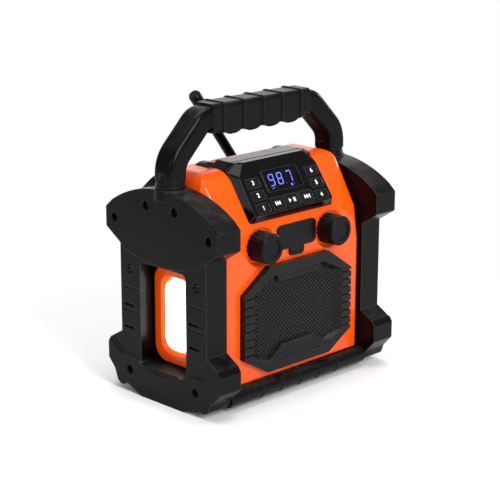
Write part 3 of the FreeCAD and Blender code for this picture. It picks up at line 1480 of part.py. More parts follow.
def lamp():
    """The lamp, stacked outwards from the casing's left side."""
    wall = -S.guard_in
    tray_out = wall - S.lamp_tray_thick
    shape = oblong(S.lamp_y, S.lamp_low, S.lamp_high, S.lamp_corner_r)
    keep("lamp_tray", prism("tray_plate", "X", tray_out, wall, shape))
    bezel_out = wall - S.bezel_reach
    inner_y = S.lamp_y - S.bezel_wide
    inner_low, inner_high = S.lamp_low + S.bezel_wide, S.lamp_high - S.bezel_wide
    inner_r = S.lamp_corner_r - 4
    mouth_r = inner_r + 1
    ring = prism("bezel_ring", "X", bezel_out, tray_out, shape)
    mouth = loft("bezel_mouth", [
        outline("bezel_outer", "X", bezel_out,
                oblong(inner_y + S.bezel_slope, inner_low - S.bezel_slope, inner_high + S.bezel_slope,
                       mouth_r)),
        outline("bezel_inner", "X", tray_out - 3, oblong(inner_y, inner_low, inner_high, inner_r))])
    well = prism("bezel_well", "X", tray_out - 3.2, tray_out + PAST,
                 oblong(inner_y, inner_low, inner_high, inner_r))
    keep("lamp_bezel", cut("bezel", ring, [mouth, well]))
    board_out = tray_out - S.lamp_board_thick
    keep("lamp_board", prism("led_board", "X", board_out, tray_out,
                             oblong(inner_y - SLACK, inner_low + SLACK, inner_high - SLACK, inner_r)))
    middle = (S.lamp_low + S.lamp_high) / 2
    size, rows = S.led_size / 2, int(S.led_rows.value)
    leds = []
    for row in range(rows):
        z = middle + (row - (rows - PAST) / 2) * S.led_pitch
        for side in (-1, 1):
            y = side * S.led_column
            leds.append(block("led", (board_out - S.led_tall, board_out), (y - size, y + size),
                              (z - size, z + size)))
    keep("lamp_leds", group("leds", leds))
    lens_in = tray_out - 3
    skirt = prism("lens_skirt", "X", lens_in, tray_out - S.lamp_board_thick, oblong(
        inner_y - SLACK, inner_low + SLACK, inner_high - SLACK, inner_r))
    bore = prism("lens_bore", "X", lens_in, tray_out, oblong(
        inner_y - 1.5, inner_low + 1.5, inner_high - 1.5, inner_r - PAST))
    pane = prism("lens_pane", "X", lens_in - S.lens_thick, lens_in, oblong(
        inner_y - SLACK, inner_low + SLACK, inner_high - SLACK, inner_r))
    dome = loft("lens_dome", [
        outline("dome_foot", "X", lens_in - S.lens_thick,
                oblong(inner_y - 1.0, inner_low + 1.0, inner_high - 1.0, inner_r - PAST)),
        outline("dome_top", "X", lens_in - S.lens_thick - S.lens_dome,
                oblong(inner_y - 4.0, inner_low + 4.0, inner_high - 4.0, inner_r - 4))])
    hollow = cut("lens_skirt_ring", skirt, [bore])
    keep("lamp_lens", fuse("lens", [hollow, pane, dome]))


def end_panel():
    """The closed ribbed panel in the right guard's window."""
    start, end = S.guard_in, S.guard_in + S.end_panel_reach
    plate = prism("end_plate", "X", start, end,
                  oblong(S.window_y - SLACK, S.window_low + SLACK, S.window_high - SLACK, 4.8))
    count = int(S.end_rib_count.value)
    pitch = (S.window_high - S.window_low) / (count + 1)
    ribs = [block("end_rib", (end - SINK, end + S.end_rib_proud), (-S.window_y + 6, S.window_y - 6),
                  (S.window_low + (number + PAST) * pitch - 2,
                   S.window_low + (number + PAST) * pitch + 2))
            for number in range(count)]
    keep("right_end_panel", fuse("end_panel", [plate] + ribs))


# Antenna. Built upright about its tilt hinge, then leant to the left and set behind the cover.

def on_antenna(body):
    """Lean a solid to the left and set it at the antenna's hinge."""
    turn = FreeCAD.Rotation(VECTOR(0, 1, 0), -S.antenna_lean.value)
    return place(body, S.antenna_x, S.antenna_y, S.antenna_z, turn)


def antenna():
    """The socket ring, swivel fork, pin, rubber rod and cap."""
    plate_y = S.rear_y - S.antenna_y
    cheek_y = plate_y + S.socket_thick + S.fork_gap
    socket = rod("socket", "Y", S.socket_r, (S.rear_y, S.rear_y + S.socket_thick),
                 (S.antenna_x, S.antenna_z))
    keep("antenna_socket", cut("socket_ring", socket, [
        rod("socket_bore", "Y", S.spigot_r + S.shaft_clear,
            (S.rear_y - PAST, S.rear_y + S.socket_thick + PAST),
            (S.antenna_x, S.antenna_z))]))
    spigot = rod("spigot", "Y", S.spigot_r, (plate_y - S.wall - PAST, cheek_y + SINK), (0, 0))
    cap = rod("spigot_cap", "Y", S.spigot_r + 2, (plate_y - S.wall - 2, plate_y - S.wall - SLACK), (0, 0))
    floor = rod("fork_floor", "Y", S.fork_r, (cheek_y, cheek_y + PAST), (0, 0))
    cheeks = []
    for side in (-1, 1):
        ends = sorted((side * (S.tongue_half + S.fork_gap), side * S.fork_half), key=lambda s: s.value)
        cheeks.append(block("cheek", ends, (cheek_y, 0), (-3.2, 3.2)))
        cheeks.append(rod("cheek_round", "X", 3.2, ends, (0, 0)))
    fork = fuse("fork_solid", [spigot, cap, floor] + cheeks)
    keep("antenna_swivel", on_antenna(cut("fork", fork, [
        rod("fork_pin_hole", "X", S.antenna_pin_r, (-S.fork_half - PAST, S.fork_half + PAST), (0, 0))])))
    heads = [rod("pin_head", "X", S.antenna_pin_r + 0.8,
                 sorted((side * S.fork_half, side * (S.fork_half + 0.8)), key=lambda s: s.value), (0, 0))
             for side in (-1, 1)]
    pin = rod("pin_shank", "X", S.antenna_pin_r, (-S.fork_half, S.fork_half), (0, 0))
    keep("antenna_pin", on_antenna(fuse("pin", [pin] + heads)))
    tongue = block("tongue", (-S.tongue_half, S.tongue_half), (-2.8, 2.8), (0, 9))
    tongue_round = rod("tongue_round", "X", 2.8, (-S.tongue_half, S.tongue_half), (0, 0))
    root = taper("antenna_root", "Z", (S.antenna_root_r, S.antenna_r), (8.5, 8.5 + S.antenna_root_h),
                 (0, 0))
    stalk = rod("stalk", "Z", S.antenna_r, (8.5, S.antenna_length - S.antenna_cap_h), (0, 0))
    rod_solid = fuse("antenna_solid", [tongue, tongue_round, root, stalk])
    keep("antenna_rod", on_antenna(cut("antenna_drilled", rod_solid, [
        rod("tongue_hole", "X", S.antenna_pin_r + S.pin_clear,
            (-S.tongue_half - PAST, S.tongue_half + PAST),
            (0, 0))])))
    cap_low = S.antenna_length - S.antenna_cap_h
    crown = taper("cap_crown", "Z", (S.antenna_cap_r, S.antenna_cap_r - PAST),
                  (S.antenna_length - 2, S.antenna_length),
                  (0, 0))
    barrel = rod("cap_barrel", "Z", S.antenna_cap_r, (cap_low, S.antenna_length - 2), (0, 0))
    keep("antenna_cap", on_antenna(fuse("cap_solid", [barrel, crown])))


# Boards inside.

def main_board():
    """The main board on the rear cover's posts, with the tuner can on its front."""
    keep("main_board", block("board", (-S.main_half, S.main_half), (S.main_y, S.main_y + S.board_thick),
                             (S.main_low, S.main_high)))
    keep("tuner_module",
         block("tuner_can", (-S.tuner_half, S.tuner_half), (S.main_y - S.tuner_thick, S.main_y),
                               (S.tuner_low, S.tuner_high)))


def check_and_write():
    """Recompute, refuse anything broken, and write each sub-part to its own file."""
    DOC.recompute()
    faults = [f"{obj.Name}: {obj.State}" for obj in DOC.Objects
              if "Invalid" in obj.State or "Error" in obj.State]
    for node, body in PARTS.items():
        if body.Shape.isNull() or not body.Shape.isValid() or not body.Shape.Solids:
            faults.append(f"{node}: shape is null, invalid or has no solid")
    if faults:
        print("\n".join(faults))
        sys.exit(1)
    os.makedirs("parts", exist_ok=True)
    for node, body in PARTS.items():
        body.Shape.exportStep(f"parts/{node}.step")
        print(f"{node}: {len(body.Shape.Solids)} solid(s), {body.Shape.Volume / 1000:.2f} cm3")


def main():
    """Build every sub-part in turn."""
    guards()
    front_casing()
    rear_cover()
    rear_screws()
    battery()
    handle()
    rails()
    display_housing()
    display_inside()
    knob(-1, "left_knob", "tuning_encoder")
    knob(1, "right_knob", "volume_potentiometer")
    ports()
    grille()
    speaker()
    lamp()
    end_panel()
    antenna()
    main_board()
    check_and_write()


main()
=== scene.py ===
"""Looks of the jobsite radio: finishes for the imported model, and the fine pieces that only the render needs.

Everything is in metres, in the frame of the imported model: +X to the right along the front, the front
faces -Y, +Z up, with the ground at zero.
"""

import json
import logging
import math
from dataclasses import dataclass, field
from enum import Enum

import bmesh
import bpy
from mathutils import Matrix, Vector

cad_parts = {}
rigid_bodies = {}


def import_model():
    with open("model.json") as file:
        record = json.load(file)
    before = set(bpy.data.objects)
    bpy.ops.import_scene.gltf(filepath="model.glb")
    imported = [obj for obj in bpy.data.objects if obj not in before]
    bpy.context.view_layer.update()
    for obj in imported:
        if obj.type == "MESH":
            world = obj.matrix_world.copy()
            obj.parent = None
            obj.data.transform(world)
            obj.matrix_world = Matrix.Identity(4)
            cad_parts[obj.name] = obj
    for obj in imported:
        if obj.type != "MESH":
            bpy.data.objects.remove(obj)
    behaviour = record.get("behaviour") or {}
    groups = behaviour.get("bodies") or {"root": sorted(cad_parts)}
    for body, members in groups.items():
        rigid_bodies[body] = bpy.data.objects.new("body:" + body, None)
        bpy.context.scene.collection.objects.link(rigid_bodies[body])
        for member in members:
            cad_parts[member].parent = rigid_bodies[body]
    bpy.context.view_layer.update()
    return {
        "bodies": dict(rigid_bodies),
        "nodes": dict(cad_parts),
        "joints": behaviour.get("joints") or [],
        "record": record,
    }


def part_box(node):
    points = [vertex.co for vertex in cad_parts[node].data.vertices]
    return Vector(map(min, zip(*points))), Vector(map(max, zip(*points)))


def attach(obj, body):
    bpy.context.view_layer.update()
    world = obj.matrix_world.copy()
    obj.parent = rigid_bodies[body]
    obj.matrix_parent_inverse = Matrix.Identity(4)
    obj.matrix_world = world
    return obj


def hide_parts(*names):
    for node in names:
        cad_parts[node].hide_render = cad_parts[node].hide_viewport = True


LOG = logging.getLogger("radio")
MM = 0.001

Colour = tuple[float, float, float]
Opaque = tuple[float, float, float, float]
Place = tuple[float, float, float]
Point2 = tuple[float, float]
Span = tuple[float, float]


class Effect(Enum):
    """Surface effects that several finishes share."""

    SOFT_EDGE = "soft_edge"
    MOULD_GRAIN = "mould_grain"
    HANDLING = "handling"
    DUST = "dust"


class Mark(Enum):
    """Shapes that the symbols on the buttons are made of."""

    BACK = "arrow to the left"
    AHEAD = "arrow to the right"
    BAR = "upright bar"


class Graph:
    """Adds nodes to one node tree and joins their sockets."""

    # The Mix node's colour sockets by number, because its number sockets have the same names.
    MIX_FIRST, MIX_SECOND, MIX_RESULT = 6, 7, 2

    def __init__(self, tree: bpy.types.NodeTree) -> None:
        """Keep the tree that the nodes go into.

        Args:
            tree: The node tree of a material, a group or the world.
        """
        self.tree = tree

    def add(self, kind: str, **settings: object) -> bpy.types.Node:
        """Add a node and set its properties.

        Args:
            kind: Blender's name of the node type.
            settings: Properties of the node, by name.

        Returns:
            The new node.
        """
        node = self.tree.nodes.new(kind)
        for name, value in settings.items():
            setattr(node, name, value)
        return node

    def join(self, source: bpy.types.NodeSocket, target: bpy.types.NodeSocket) -> None:
        """Link an output to an input."""
        self.tree.links.new(source, target)

    def feed(self, target: bpy.types.NodeSocket, value: object) -> None:
        """Give an input a link or a plain value.

        Args:
            target: The input socket.
            value: Another socket to link from, or a number, vector or colour.
        """
        if isinstance(value, bpy.types.NodeSocket):
            self.join(value, target)
        else:
            target.default_value = value

    def fill(self, node: bpy.types.Node, values: dict[str, object]) -> None:
        """Give several inputs of a node a link or a plain value each.

        Args:
            node: The node.
            values: What to give, by the inputs' names.
        """
        for name, value in values.items():
            self.feed(node.inputs[name], value)

    def here(self) -> bpy.types.NodeSocket:
        """The place on the object, in its own coordinates."""
        return self.add("ShaderNodeTexCoord").outputs["Object"]

    def noise(self, vector: object, scale: object, detail: float,
              roughness: float = 0.5) -> bpy.types.NodeSocket:
        """Add a noise texture.

        Args:
            vector: Where to read it.
            scale: Features to the metre.
            detail: How many finer layers it has.
            roughness: How strong the finer layers are.

        Returns:
            The noise value, about 0 to 1.
        """
        node = self.add("ShaderNodeTexNoise")
        self.fill(node, {"Vector": vector, "Scale": scale, "Detail": detail, "Roughness": roughness})
        return node.outputs[0]

    def ranged(self, value: object, span: Span, new_span: Span = (0.0, 1.0)) -> bpy.types.NodeSocket:
        """Stretch a value from one range to another and clamp it.

        Args:
            value: The value to stretch.
            span: Where its range starts and ends.
            new_span: What the start and the end become.

        Returns:
            The stretched value.
        """
        node = self.add("ShaderNodeMapRange")
        for index, entry in enumerate((value, *span, *new_span)):
            self.feed(node.inputs[index], entry)
        return node.outputs[0]

    def around(self, mask: object, middle: float, spread: Span) -> bpy.types.NodeSocket:
        """Move a value round its middle with a mask.

        Args:
            mask: The mask, from 0 to 1.
            middle: The middle value.
            spread: How far the value falls at 0 and rises at 1.

        Returns:
            The value.
        """
        return self.ranged(mask, (0.0, 1.0), (middle - spread[0], middle + spread[1]))

    def maths(self, operation: str, first: object, second: object) -> bpy.types.NodeSocket:
        """Work out one value from two.

        Args:
            operation: Blender's name of the operation.
            first: The first number.
            second: The second number.

        Returns:
            The result.
        """
        node = self.add("ShaderNodeMath", operation=operation)
        self.feed(node.inputs[0], first)
        self.feed(node.inputs[1], second)
        return node.outputs[0]

    def blend(self, factor: object, first: object, second: object) -> bpy.types.NodeSocket:
        """Mix two colours.

        Args:
            factor: Share of the second colour.
            first: The first colour.
            second: The second colour.

        Returns:
            The mixed colour.
        """
        node = self.add("ShaderNodeMix", data_type="RGBA")
        self.feed(node.inputs[0], factor)
        self.feed(node.inputs[self.MIX_FIRST], first)
        self.feed(node.inputs[self.MIX_SECOND], second)
        return node.outputs[self.MIX_RESULT]

    def bump(self, height: object, distance: float, normal: object) -> bpy.types.NodeSocket:
        """Tilt a normal by a height.

        Args:
            height: The height, as a share of the distance.
            distance: How deep a height of 1 is, in metres.
            normal: The normal to tilt.

        Returns:
            The tilted normal.
        """
        node = self.add("ShaderNodeBump")
        self.fill(node, {"Distance": distance, "Height": height, "Normal": normal})
        return node.outputs["Normal"]


def opaque(colour: Colour) -> Opaque:
    """A colour with full alpha."""
    return (*colour, 1.0)


def dimmed(colour: Colour, share: float) -> Opaque:
    """A share of a colour, with full alpha."""
    return opaque(tuple(part * share for part in colour))


class EffectLibrary:
    """Builds each shared effect once, as a shader node group, and places it in materials."""

    def __init__(self) -> None:
        """Start with no effects made."""
        self._made: dict[Effect, bpy.types.ShaderNodeTree] = {}
        self._makers = {
            Effect.SOFT_EDGE: self._soft_edge, Effect.MOULD_GRAIN: self._mould_grain,
            Effect.HANDLING: self._handling, Effect.DUST: self._dust,
        }

    def place(self, graph: Graph, effect: Effect, **values: object) -> bpy.types.Node:
        """Place an effect in a material.

        Args:
            graph: The material's nodes.
            effect: Which effect.
            values: The effect's inputs by name, with underscores for spaces.

        Returns:
            The group node, whose outputs carry the effect.
        """
        if effect not in self._made:
            self._made[effect] = self._makers[effect]()
        node = graph.add("ShaderNodeGroup", node_tree=self._made[effect])
        graph.fill(node, {name.replace("_", " "): value for name, value in values.items()})
        return node

    def _new(self, effect: Effect, inputs: dict[str, float],
             outputs: dict[str, str]) -> tuple[Graph, bpy.types.Node, bpy.types.Node]:
        """Make an empty group with its sockets.

        Args:
            effect: The effect that names the group.
            inputs: Number inputs with their defaults.
            outputs: Output names with their kinds, Float or Vector.

        Returns:
            The group's graph, its input node and its output node.
        """
        tree = bpy.data.node_groups.new(effect.value, "ShaderNodeTree")
        for label, value in inputs.items():
            socket = tree.interface.new_socket(label, in_out="INPUT", socket_type="NodeSocketFloat")
            socket.default_value = value
        for label, kind in outputs.items():
            tree.interface.new_socket(label, in_out="OUTPUT", socket_type=f"NodeSocket{kind}")
        graph = Graph(tree)
        return graph, graph.add("NodeGroupInput"), graph.add("NodeGroupOutput")

    def _soft_edge(self) -> bpy.types.ShaderNodeTree:
        """Round sharp edges in the shading and mask them.

        Returns:
            The group, with the rounded normal and the mask of the edges.
        """
        flat_to_sharp = (0.995, 0.8)  # how far the rounded normal agrees with the true one
        graph, start, end = self._new(Effect.SOFT_EDGE, {"Radius": 0.0006},
                                      {"Normal": "Vector", "Edge": "Float"})
        rounded = graph.add("ShaderNodeBevel", samples=6)
        graph.join(start.outputs["Radius"], rounded.inputs["Radius"])
        geometry = graph.add("ShaderNodeNewGeometry")
        agreement = graph.add("ShaderNodeVectorMath", operation="DOT_PRODUCT")
        graph.join(rounded.outputs[0], agreement.inputs[0])
        graph.join(geometry.outputs["Normal"], agreement.inputs[1])
        edge = graph.ranged(agreement.outputs["Value"], flat_to_sharp)
        graph.fill(end, {"Normal": rounded.outputs[0], "Edge": edge})
        return graph.tree

    def _mould_grain(self) -> bpy.types.ShaderNodeTree:
        """Make the fine pits of moulded plastic, and slow changes of tone over a part.

        Returns:
            The group, with the height of the grain and the mask of the tone.
        """
        pit_share, tone_span = 0.6, (0.3, 0.7)
        graph, start, end = self._new(Effect.MOULD_GRAIN, {"Scale": 1400.0, "Tone Scale": 30.0},
                                      {"Height": "Float", "Tone": "Float"})
        here = graph.here()
        pits = graph.add("ShaderNodeTexVoronoi")
        graph.fill(pits, {"Vector": here, "Scale": start.outputs["Scale"]})
        fine = graph.noise(here, start.outputs["Scale"], detail=3.0, roughness=0.6)
        height = graph.maths("ADD", graph.maths("MULTIPLY", pits.outputs["Distance"], pit_share), fine)
        slow = graph.noise(here, start.outputs["Tone Scale"], detail=3.0, roughness=0.55)
        graph.fill(end, {"Height": height, "Tone": graph.ranged(slow, tone_span)})
        return graph.tree

    def _handling(self) -> bpy.types.ShaderNodeTree:
        """Make short scuffs in a few directions, and smudges that change the gloss.

        Returns:
            The group, with the mask of the scuffs and the mask of the smudges.
        """
        directions, stretch, scuff_span = (0.4, 1.5, 2.5), (1.0, 0.06, 1.0), (0.68, 0.76)
        patch_scale, patch_span = 25.0, (0.45, 0.7)
        smudge_scale, smudge_span = 45.0, (0.3, 0.75)
        graph, start, end = self._new(Effect.HANDLING, {"Scale": 160.0},
                                      {"Scuff": "Float", "Smudge": "Float"})
        here = graph.here()
        scuffs = None
        for turn in directions:
            mapping = graph.add("ShaderNodeMapping")
            rotation = (turn, turn * 0.7, turn * 1.3)  # about all three axes, so that no side lacks scuffs
            graph.fill(mapping, {"Vector": here, "Rotation": rotation, "Scale": stretch})
            streak = graph.noise(mapping.outputs["Vector"], start.outputs["Scale"], detail=2.0, roughness=0.4)
            streak = graph.ranged(streak, scuff_span)
            scuffs = streak if scuffs is None else graph.maths("MAXIMUM", scuffs, streak)
        patch = graph.ranged(graph.noise(here, patch_scale, detail=2.0), patch_span)
        smudge = graph.ranged(graph.noise(here, smudge_scale, detail=4.0, roughness=0.6), smudge_span)
        graph.fill(end, {"Scuff": graph.maths("MULTIPLY", scuffs, patch), "Smudge": smudge})
        return graph.tree

    def _dust(self) -> bpy.types.ShaderNodeTree:
        """Make a thin patchy film on what faces up.

        Returns:
            The group, with the mask of the film.
        """
        upward_span = (0.55, 1.0)  # how far a face looks up
        patch_scale, patch_span = 60.0, (0.35, 0.75)
        graph, start, end = self._new(Effect.DUST, {"Amount": 0.3}, {"Film": "Float"})
        geometry = graph.add("ShaderNodeNewGeometry")
        split = graph.add("ShaderNodeSeparateXYZ")
        graph.join(geometry.outputs["Normal"], split.inputs[0])
        upward = graph.ranged(split.outputs["Z"], upward_span)
        patchy = graph.noise(graph.here(), patch_scale, detail=5.0, roughness=0.65)
        patchy = graph.ranged(patchy, patch_span)
        film = graph.maths("MULTIPLY", graph.maths("MULTIPLY", upward, patchy), start.outputs["Amount"])
        graph.join(film, end.inputs["Film"])
        return graph.tree


EFFECTS = EffectLibrary()


def new_material(name: str) -> tuple[bpy.types.Material, Graph, bpy.types.Node]:
    """Make a material that holds only a Principled shader.

    Args:
        name: The material's name.

    Returns:
        The material, its graph and its Principled node.
    """
    material = bpy.data.materials.new(name)
    material.use_nodes = True
    return material, Graph(material.node_tree), material.node_tree.nodes["Principled BSDF"]


@dataclass(frozen=True)
class Moulded:
    """Moulded plastic or rubber: a grained colour with softened edges that carry a painted highlight, and
    light scuffs.

    Args:
        name: The material's name.
        colour: The body colour.
        rubbed: The colour of the painted highlight along the edges, and of the scuffs.
        roughness: The middle roughness.
        grain: Depth of the moulded texture, in metres.
        grain_scale: Texture features to the metre.
        edge: Radius of the softened edges, in metres.
        rub: How strongly the edges show the painted highlight colour.
        scuffs: How strongly scuffs show it, as a share of the edges.
        tone: How much the colour drifts over the part.
        film: Strength of the dust film.
        coat: Weight of the glossy top layer.
        shine: How strongly the body itself mirrors; 0.5 is usual for plastic.
        spread: How much smoother and rougher smudges make it.
        dust: Colour of the dust film.
        dulling: How much rougher full dust makes it.
        coat_roughness: Roughness of the glossy top layer.
    """

    name: str
    colour: Colour
    rubbed: Colour
    roughness: float
    grain: float = 0.00004
    grain_scale: float = 1500.0
    edge: float = 0.0008
    rub: float = 0.4
    scuffs: float = 0.12
    tone: float = 0.12
    film: float = 0.08
    coat: float = 0.0
    shine: float = 0.2
    spread: Span = (0.06, 0.07)
    dust: Colour = (0.42, 0.40, 0.37)
    dulling: float = 0.5
    coat_roughness: float = 0.07

    def build(self) -> bpy.types.Material:
        """Make the material.

        Returns:
            The finished material.
        """
        material, graph, shader = new_material(self.name)
        edge = EFFECTS.place(graph, Effect.SOFT_EDGE, Radius=self.edge)
        grain = EFFECTS.place(graph, Effect.MOULD_GRAIN, Scale=self.grain_scale)
        hand = EFFECTS.place(graph, Effect.HANDLING)
        film = EFFECTS.place(graph, Effect.DUST, Amount=self.film).outputs["Film"]
        body = graph.blend(grain.outputs["Tone"], dimmed(self.colour, 1 - self.tone), opaque(self.colour))
        # Painted highlight: the edges are painted in the lighter colour. The scuffs in that colour are real
        # wear.
        highlight_and_wear = graph.maths("MAXIMUM", graph.maths("MULTIPLY", edge.outputs["Edge"], self.rub),
                           graph.maths("MULTIPLY", hand.outputs["Scuff"], self.rub * self.scuffs))
        body = graph.blend(highlight_and_wear, body, opaque(self.rubbed))
        smudged = graph.around(hand.outputs["Smudge"], self.roughness, self.spread)
        graph.fill(shader, {
            "Base Color": graph.blend(film, body, opaque(self.dust)),
            "Roughness": graph.maths("ADD", smudged, graph.maths("MULTIPLY", film, self.dulling)),
            "Normal": graph.bump(grain.outputs["Height"], self.grain, edge.outputs["Normal"]),
            "Coat Weight": self.coat,
            "Coat Roughness": self.coat_roughness,
            "Specular IOR Level": self.shine,
        })
        return material


@dataclass(frozen=True)
class Metal:
    """Plated or blackened metal with a fine grain.

    Args:
        name: The material's name.
        colour: The metal's colour.
        roughness: The middle roughness.
        metallic: 1 for bare metal, 0 for paint.
        edge: Radius of the softened edges, in metres.
        grain: Depth of the grain, in metres.
        grain_scale: Grain features to the metre.
        scuff_scale: Scuffs to the metre.
        dark: The darkest tone, as a share of the colour.
        spread: How much smoother and rougher smudges make it.
    """

    name: str
    colour: Colour
    roughness: float
    metallic: float = 1.0
    edge: float = 0.0003
    grain: float = 0.00001
    grain_scale: float = 2600.0
    scuff_scale: float = 420.0
    dark: float = 0.75
    spread: Span = (0.08, 0.1)

    def build(self) -> bpy.types.Material:
        """Make the material.

        Returns:
            The finished material.
        """
        material, graph, shader = new_material(self.name)
        edge = EFFECTS.place(graph, Effect.SOFT_EDGE, Radius=self.edge)
        grain = EFFECTS.place(graph, Effect.MOULD_GRAIN, Scale=self.grain_scale)
        hand = EFFECTS.place(graph, Effect.HANDLING, Scale=self.scuff_scale)
        darker = dimmed(self.colour, self.dark)
        graph.fill(shader, {
            "Base Color": graph.blend(grain.outputs["Tone"], darker, opaque(self.colour)),
            "Roughness": graph.around(hand.outputs["Smudge"], self.roughness, self.spread),
            "Normal": graph.bump(grain.outputs["Height"], self.grain, edge.outputs["Normal"]),
            "Metallic": self.metallic,
        })
        return material


@dataclass(frozen=True)
class Lit:
    """A frosted or glowing surface.

    Args:
        name: The material's name.
        colour: The surface colour.
        glow: The colour of the light it gives.
        strength: How strongly it glows.
        roughness: The middle roughness.
        mottle: How much the glow varies over the surface.
        edge: Radius of the softened edges, in metres.
        grain_scale: Grain features to the metre.
        tone_scale: Changes of tone to the metre.
        dark: The darkest surface tone, as a share of the colour.
        spread: How much smoother and rougher the grain makes it.
    """

    name: str
    colour: Colour
    glow: Colour
    strength: float
    roughness: float = 0.35
    mottle: float = 0.1
    edge: float = 0.0006
    grain_scale: float = 900.0
    tone_scale: float = 70.0
    dark: float = 0.94
    spread: float = 0.05

    def build(self) -> bpy.types.Material:
        """Make the material.

        Returns:
            The finished material.
        """
        grain_heights = (0.0, 1.5)
        material, graph, shader = new_material(self.name)
        edge = EFFECTS.place(graph, Effect.SOFT_EDGE, Radius=self.edge)
        grain = EFFECTS.place(graph, Effect.MOULD_GRAIN, Scale=self.grain_scale, Tone_Scale=self.tone_scale)
        tone = grain.outputs["Tone"]
        rough_span = (self.roughness - self.spread, self.roughness + self.spread)
        graph.fill(shader, {
            "Emission Color": graph.blend(tone, dimmed(self.glow, 1 - self.mottle), opaque(self.glow)),
            "Base Color": graph.blend(tone, dimmed(self.colour, self.dark), opaque(self.colour)),
            "Roughness": graph.ranged(grain.outputs["Height"], grain_heights, rough_span),
            "Normal": edge.outputs["Normal"],
            "Emission Strength": self.strength,
        })
        return material


@dataclass(frozen=True)
class Pane:
    """The tinted clear window of the display.

    Args:
        name: The material's name.
        tint: The colour of what passes through.
        roughness: The smoothest roughness.
        smudging: How much rougher smudges make it.
        smudge_tint: The tint under a smudge, as a share of the tint.
        scuff_scale: Scuffs to the metre.
        bending: The index of refraction.
    """

    name: str
    tint: Colour
    roughness: float = 0.01
    smudging: float = 0.04
    smudge_tint: float = 0.92
    scuff_scale: float = 260.0
    bending: float = 1.2

    def build(self) -> bpy.types.Material:
        """Make the material.

        Returns:
            The finished material.
        """
        material, graph, shader = new_material(self.name)
        smudge = EFFECTS.place(graph, Effect.HANDLING, Scale=self.scuff_scale).outputs["Smudge"]
        graph.fill(shader, {
            "Base Color": graph.blend(smudge, opaque(self.tint), dimmed(self.tint, self.smudge_tint)),
            "Roughness": graph.around(smudge, self.roughness, (0.0, self.smudging)),
            "Transmission Weight": 1.0,
            "IOR": self.bending,
        })
        return material


@dataclass(frozen=True)
class Board:
    """A circuit board's solder mask with a hint of tracks.

    Args:
        name: The material's name.
        colour: The mask over bare board.
        track: The mask over copper.
        grain_scale: Grain features to the metre.
        track_scale: Track cells to the metre.
        track_span: Where in a cell the track starts and is full.
        rough_span: The smoothest and the roughest roughness.
    """

    name: str
    colour: Colour
    track: Colour
    grain_scale: float = 900.0
    track_scale: float = 260.0
    track_span: Span = (0.3, 0.36)
    rough_span: Span = (0.3, 0.42)

    def build(self) -> bpy.types.Material:
        """Make the material.

        Returns:
            The finished material.
        """
        material, graph, shader = new_material(self.name)
        grain = EFFECTS.place(graph, Effect.MOULD_GRAIN, Scale=self.grain_scale)
        cells = graph.add("ShaderNodeTexVoronoi", distance="CHEBYCHEV")
        graph.fill(cells, {"Vector": graph.here(), "Scale": self.track_scale})
        mask = graph.ranged(cells.outputs["Distance"], self.track_span)
        graph.fill(shader, {
            "Base Color": graph.blend(mask, opaque(self.colour), opaque(self.track)),
            "Roughness": graph.ranged(grain.outputs["Tone"], (0.0, 1.0), self.rough_span),
        })
        return material


@dataclass(frozen=True)
class Floor:
    """The pale floor, which the camera sees turn into the white surround away from the object.

    Args:
        name: The material's name.
        colour: The floor's colour.
        roughness: Its roughness.
        fade: How far from the middle the white starts and is full.
    """

    name: str
    colour: Colour = (0.9, 0.9, 0.9)
    roughness: float = 0.8
    fade: Span = (0.16, 0.42)

    def build(self) -> bpy.types.Material:
        """Make the material.

        Returns:
            The finished material.
        """
        material, graph, shader = new_material(self.name)
        graph.fill(shader, {"Base Color": opaque(self.colour), "Roughness": self.roughness})
        reach = graph.add("ShaderNodeVectorMath", operation="LENGTH")
        graph.join(graph.here(), reach.inputs[0])
        far = graph.ranged(reach.outputs["Value"], self.fade)
        path = graph.add("ShaderNodeLightPath")
        white = graph.add("ShaderNodeEmission")
        mix = graph.add("ShaderNodeMixShader")
        graph.join(graph.maths("MULTIPLY", far, path.outputs["Is Camera Ray"]), mix.inputs[0])
        graph.join(shader.outputs[0], mix.inputs[1])
        graph.join(white.outputs[0], mix.inputs[2])
        graph.join(mix.outputs[0], material.node_tree.nodes["Material Output"].inputs["Surface"])
        return material


Finish = Moulded | Metal | Lit | Pane | Board | Floor

# The second colour of each moulded finish is its painted edge highlight, which its scuffs share.
ORANGE = Moulded("orange_casing", (0.92, 0.088, 0.0005), (1.0, 0.22, 0.03), 0.30, grain=0.00002,
                 edge=0.0014, rub=0.3, tone=0.06, film=0.02, coat=0.35, shine=0.15)
BLACK = Moulded("black_casing", (0.0032, 0.0034, 0.0038), (0.03, 0.03, 0.033), 0.34, shine=0.08, coat=0.08)
HOUSING = Moulded("gloss_housing", (0.0016, 0.0017, 0.0021), (0.13, 0.13, 0.14), 0.2, grain=0.00001,
                  edge=0.0010, film=0.03, coat=0.2, shine=0.08)
BUMPER = Moulded("bumper", (0.0012, 0.0013, 0.0016), (0.10, 0.10, 0.105), 0.32, grain=0.00003,
                 grain_scale=1100.0, edge=0.0012, rub=0.5, shine=0.07, coat=0.1)
SOFT = Moulded("soft_rubber", (0.0030, 0.0031, 0.0035), (0.028, 0.028, 0.030), 0.38, grain=0.00002,
               edge=0.0009, shine=0.09, coat=0.1)
KNOB = Moulded("knob_rubber", (0.0024, 0.0028, 0.0040), (0.022, 0.025, 0.029), 0.36, edge=0.0006, shine=0.12)
KEY = Moulded("key_plastic", (0.0040, 0.0041, 0.0046), (0.12, 0.12, 0.125), 0.3, grain=0.00002,
              edge=0.0007, rub=0.6, shine=0.12, coat=0.2)
GRILLE = Moulded("grille_plastic", (0.0034, 0.0035, 0.0040), (0.08, 0.08, 0.085), 0.26, edge=0.0009,
                 coat=0.1, shine=0.12)
# Painted shade: a near-black sheet behind the speaker wires, where only the shade inside would show.
SHADE_SHEET = Moulded("grille_shade_sheet", (0.0016, 0.0016, 0.0019), (0.003, 0.003, 0.003), 0.9, grain=0.00006,
                rub=0.1, film=0.0, shine=0.05)
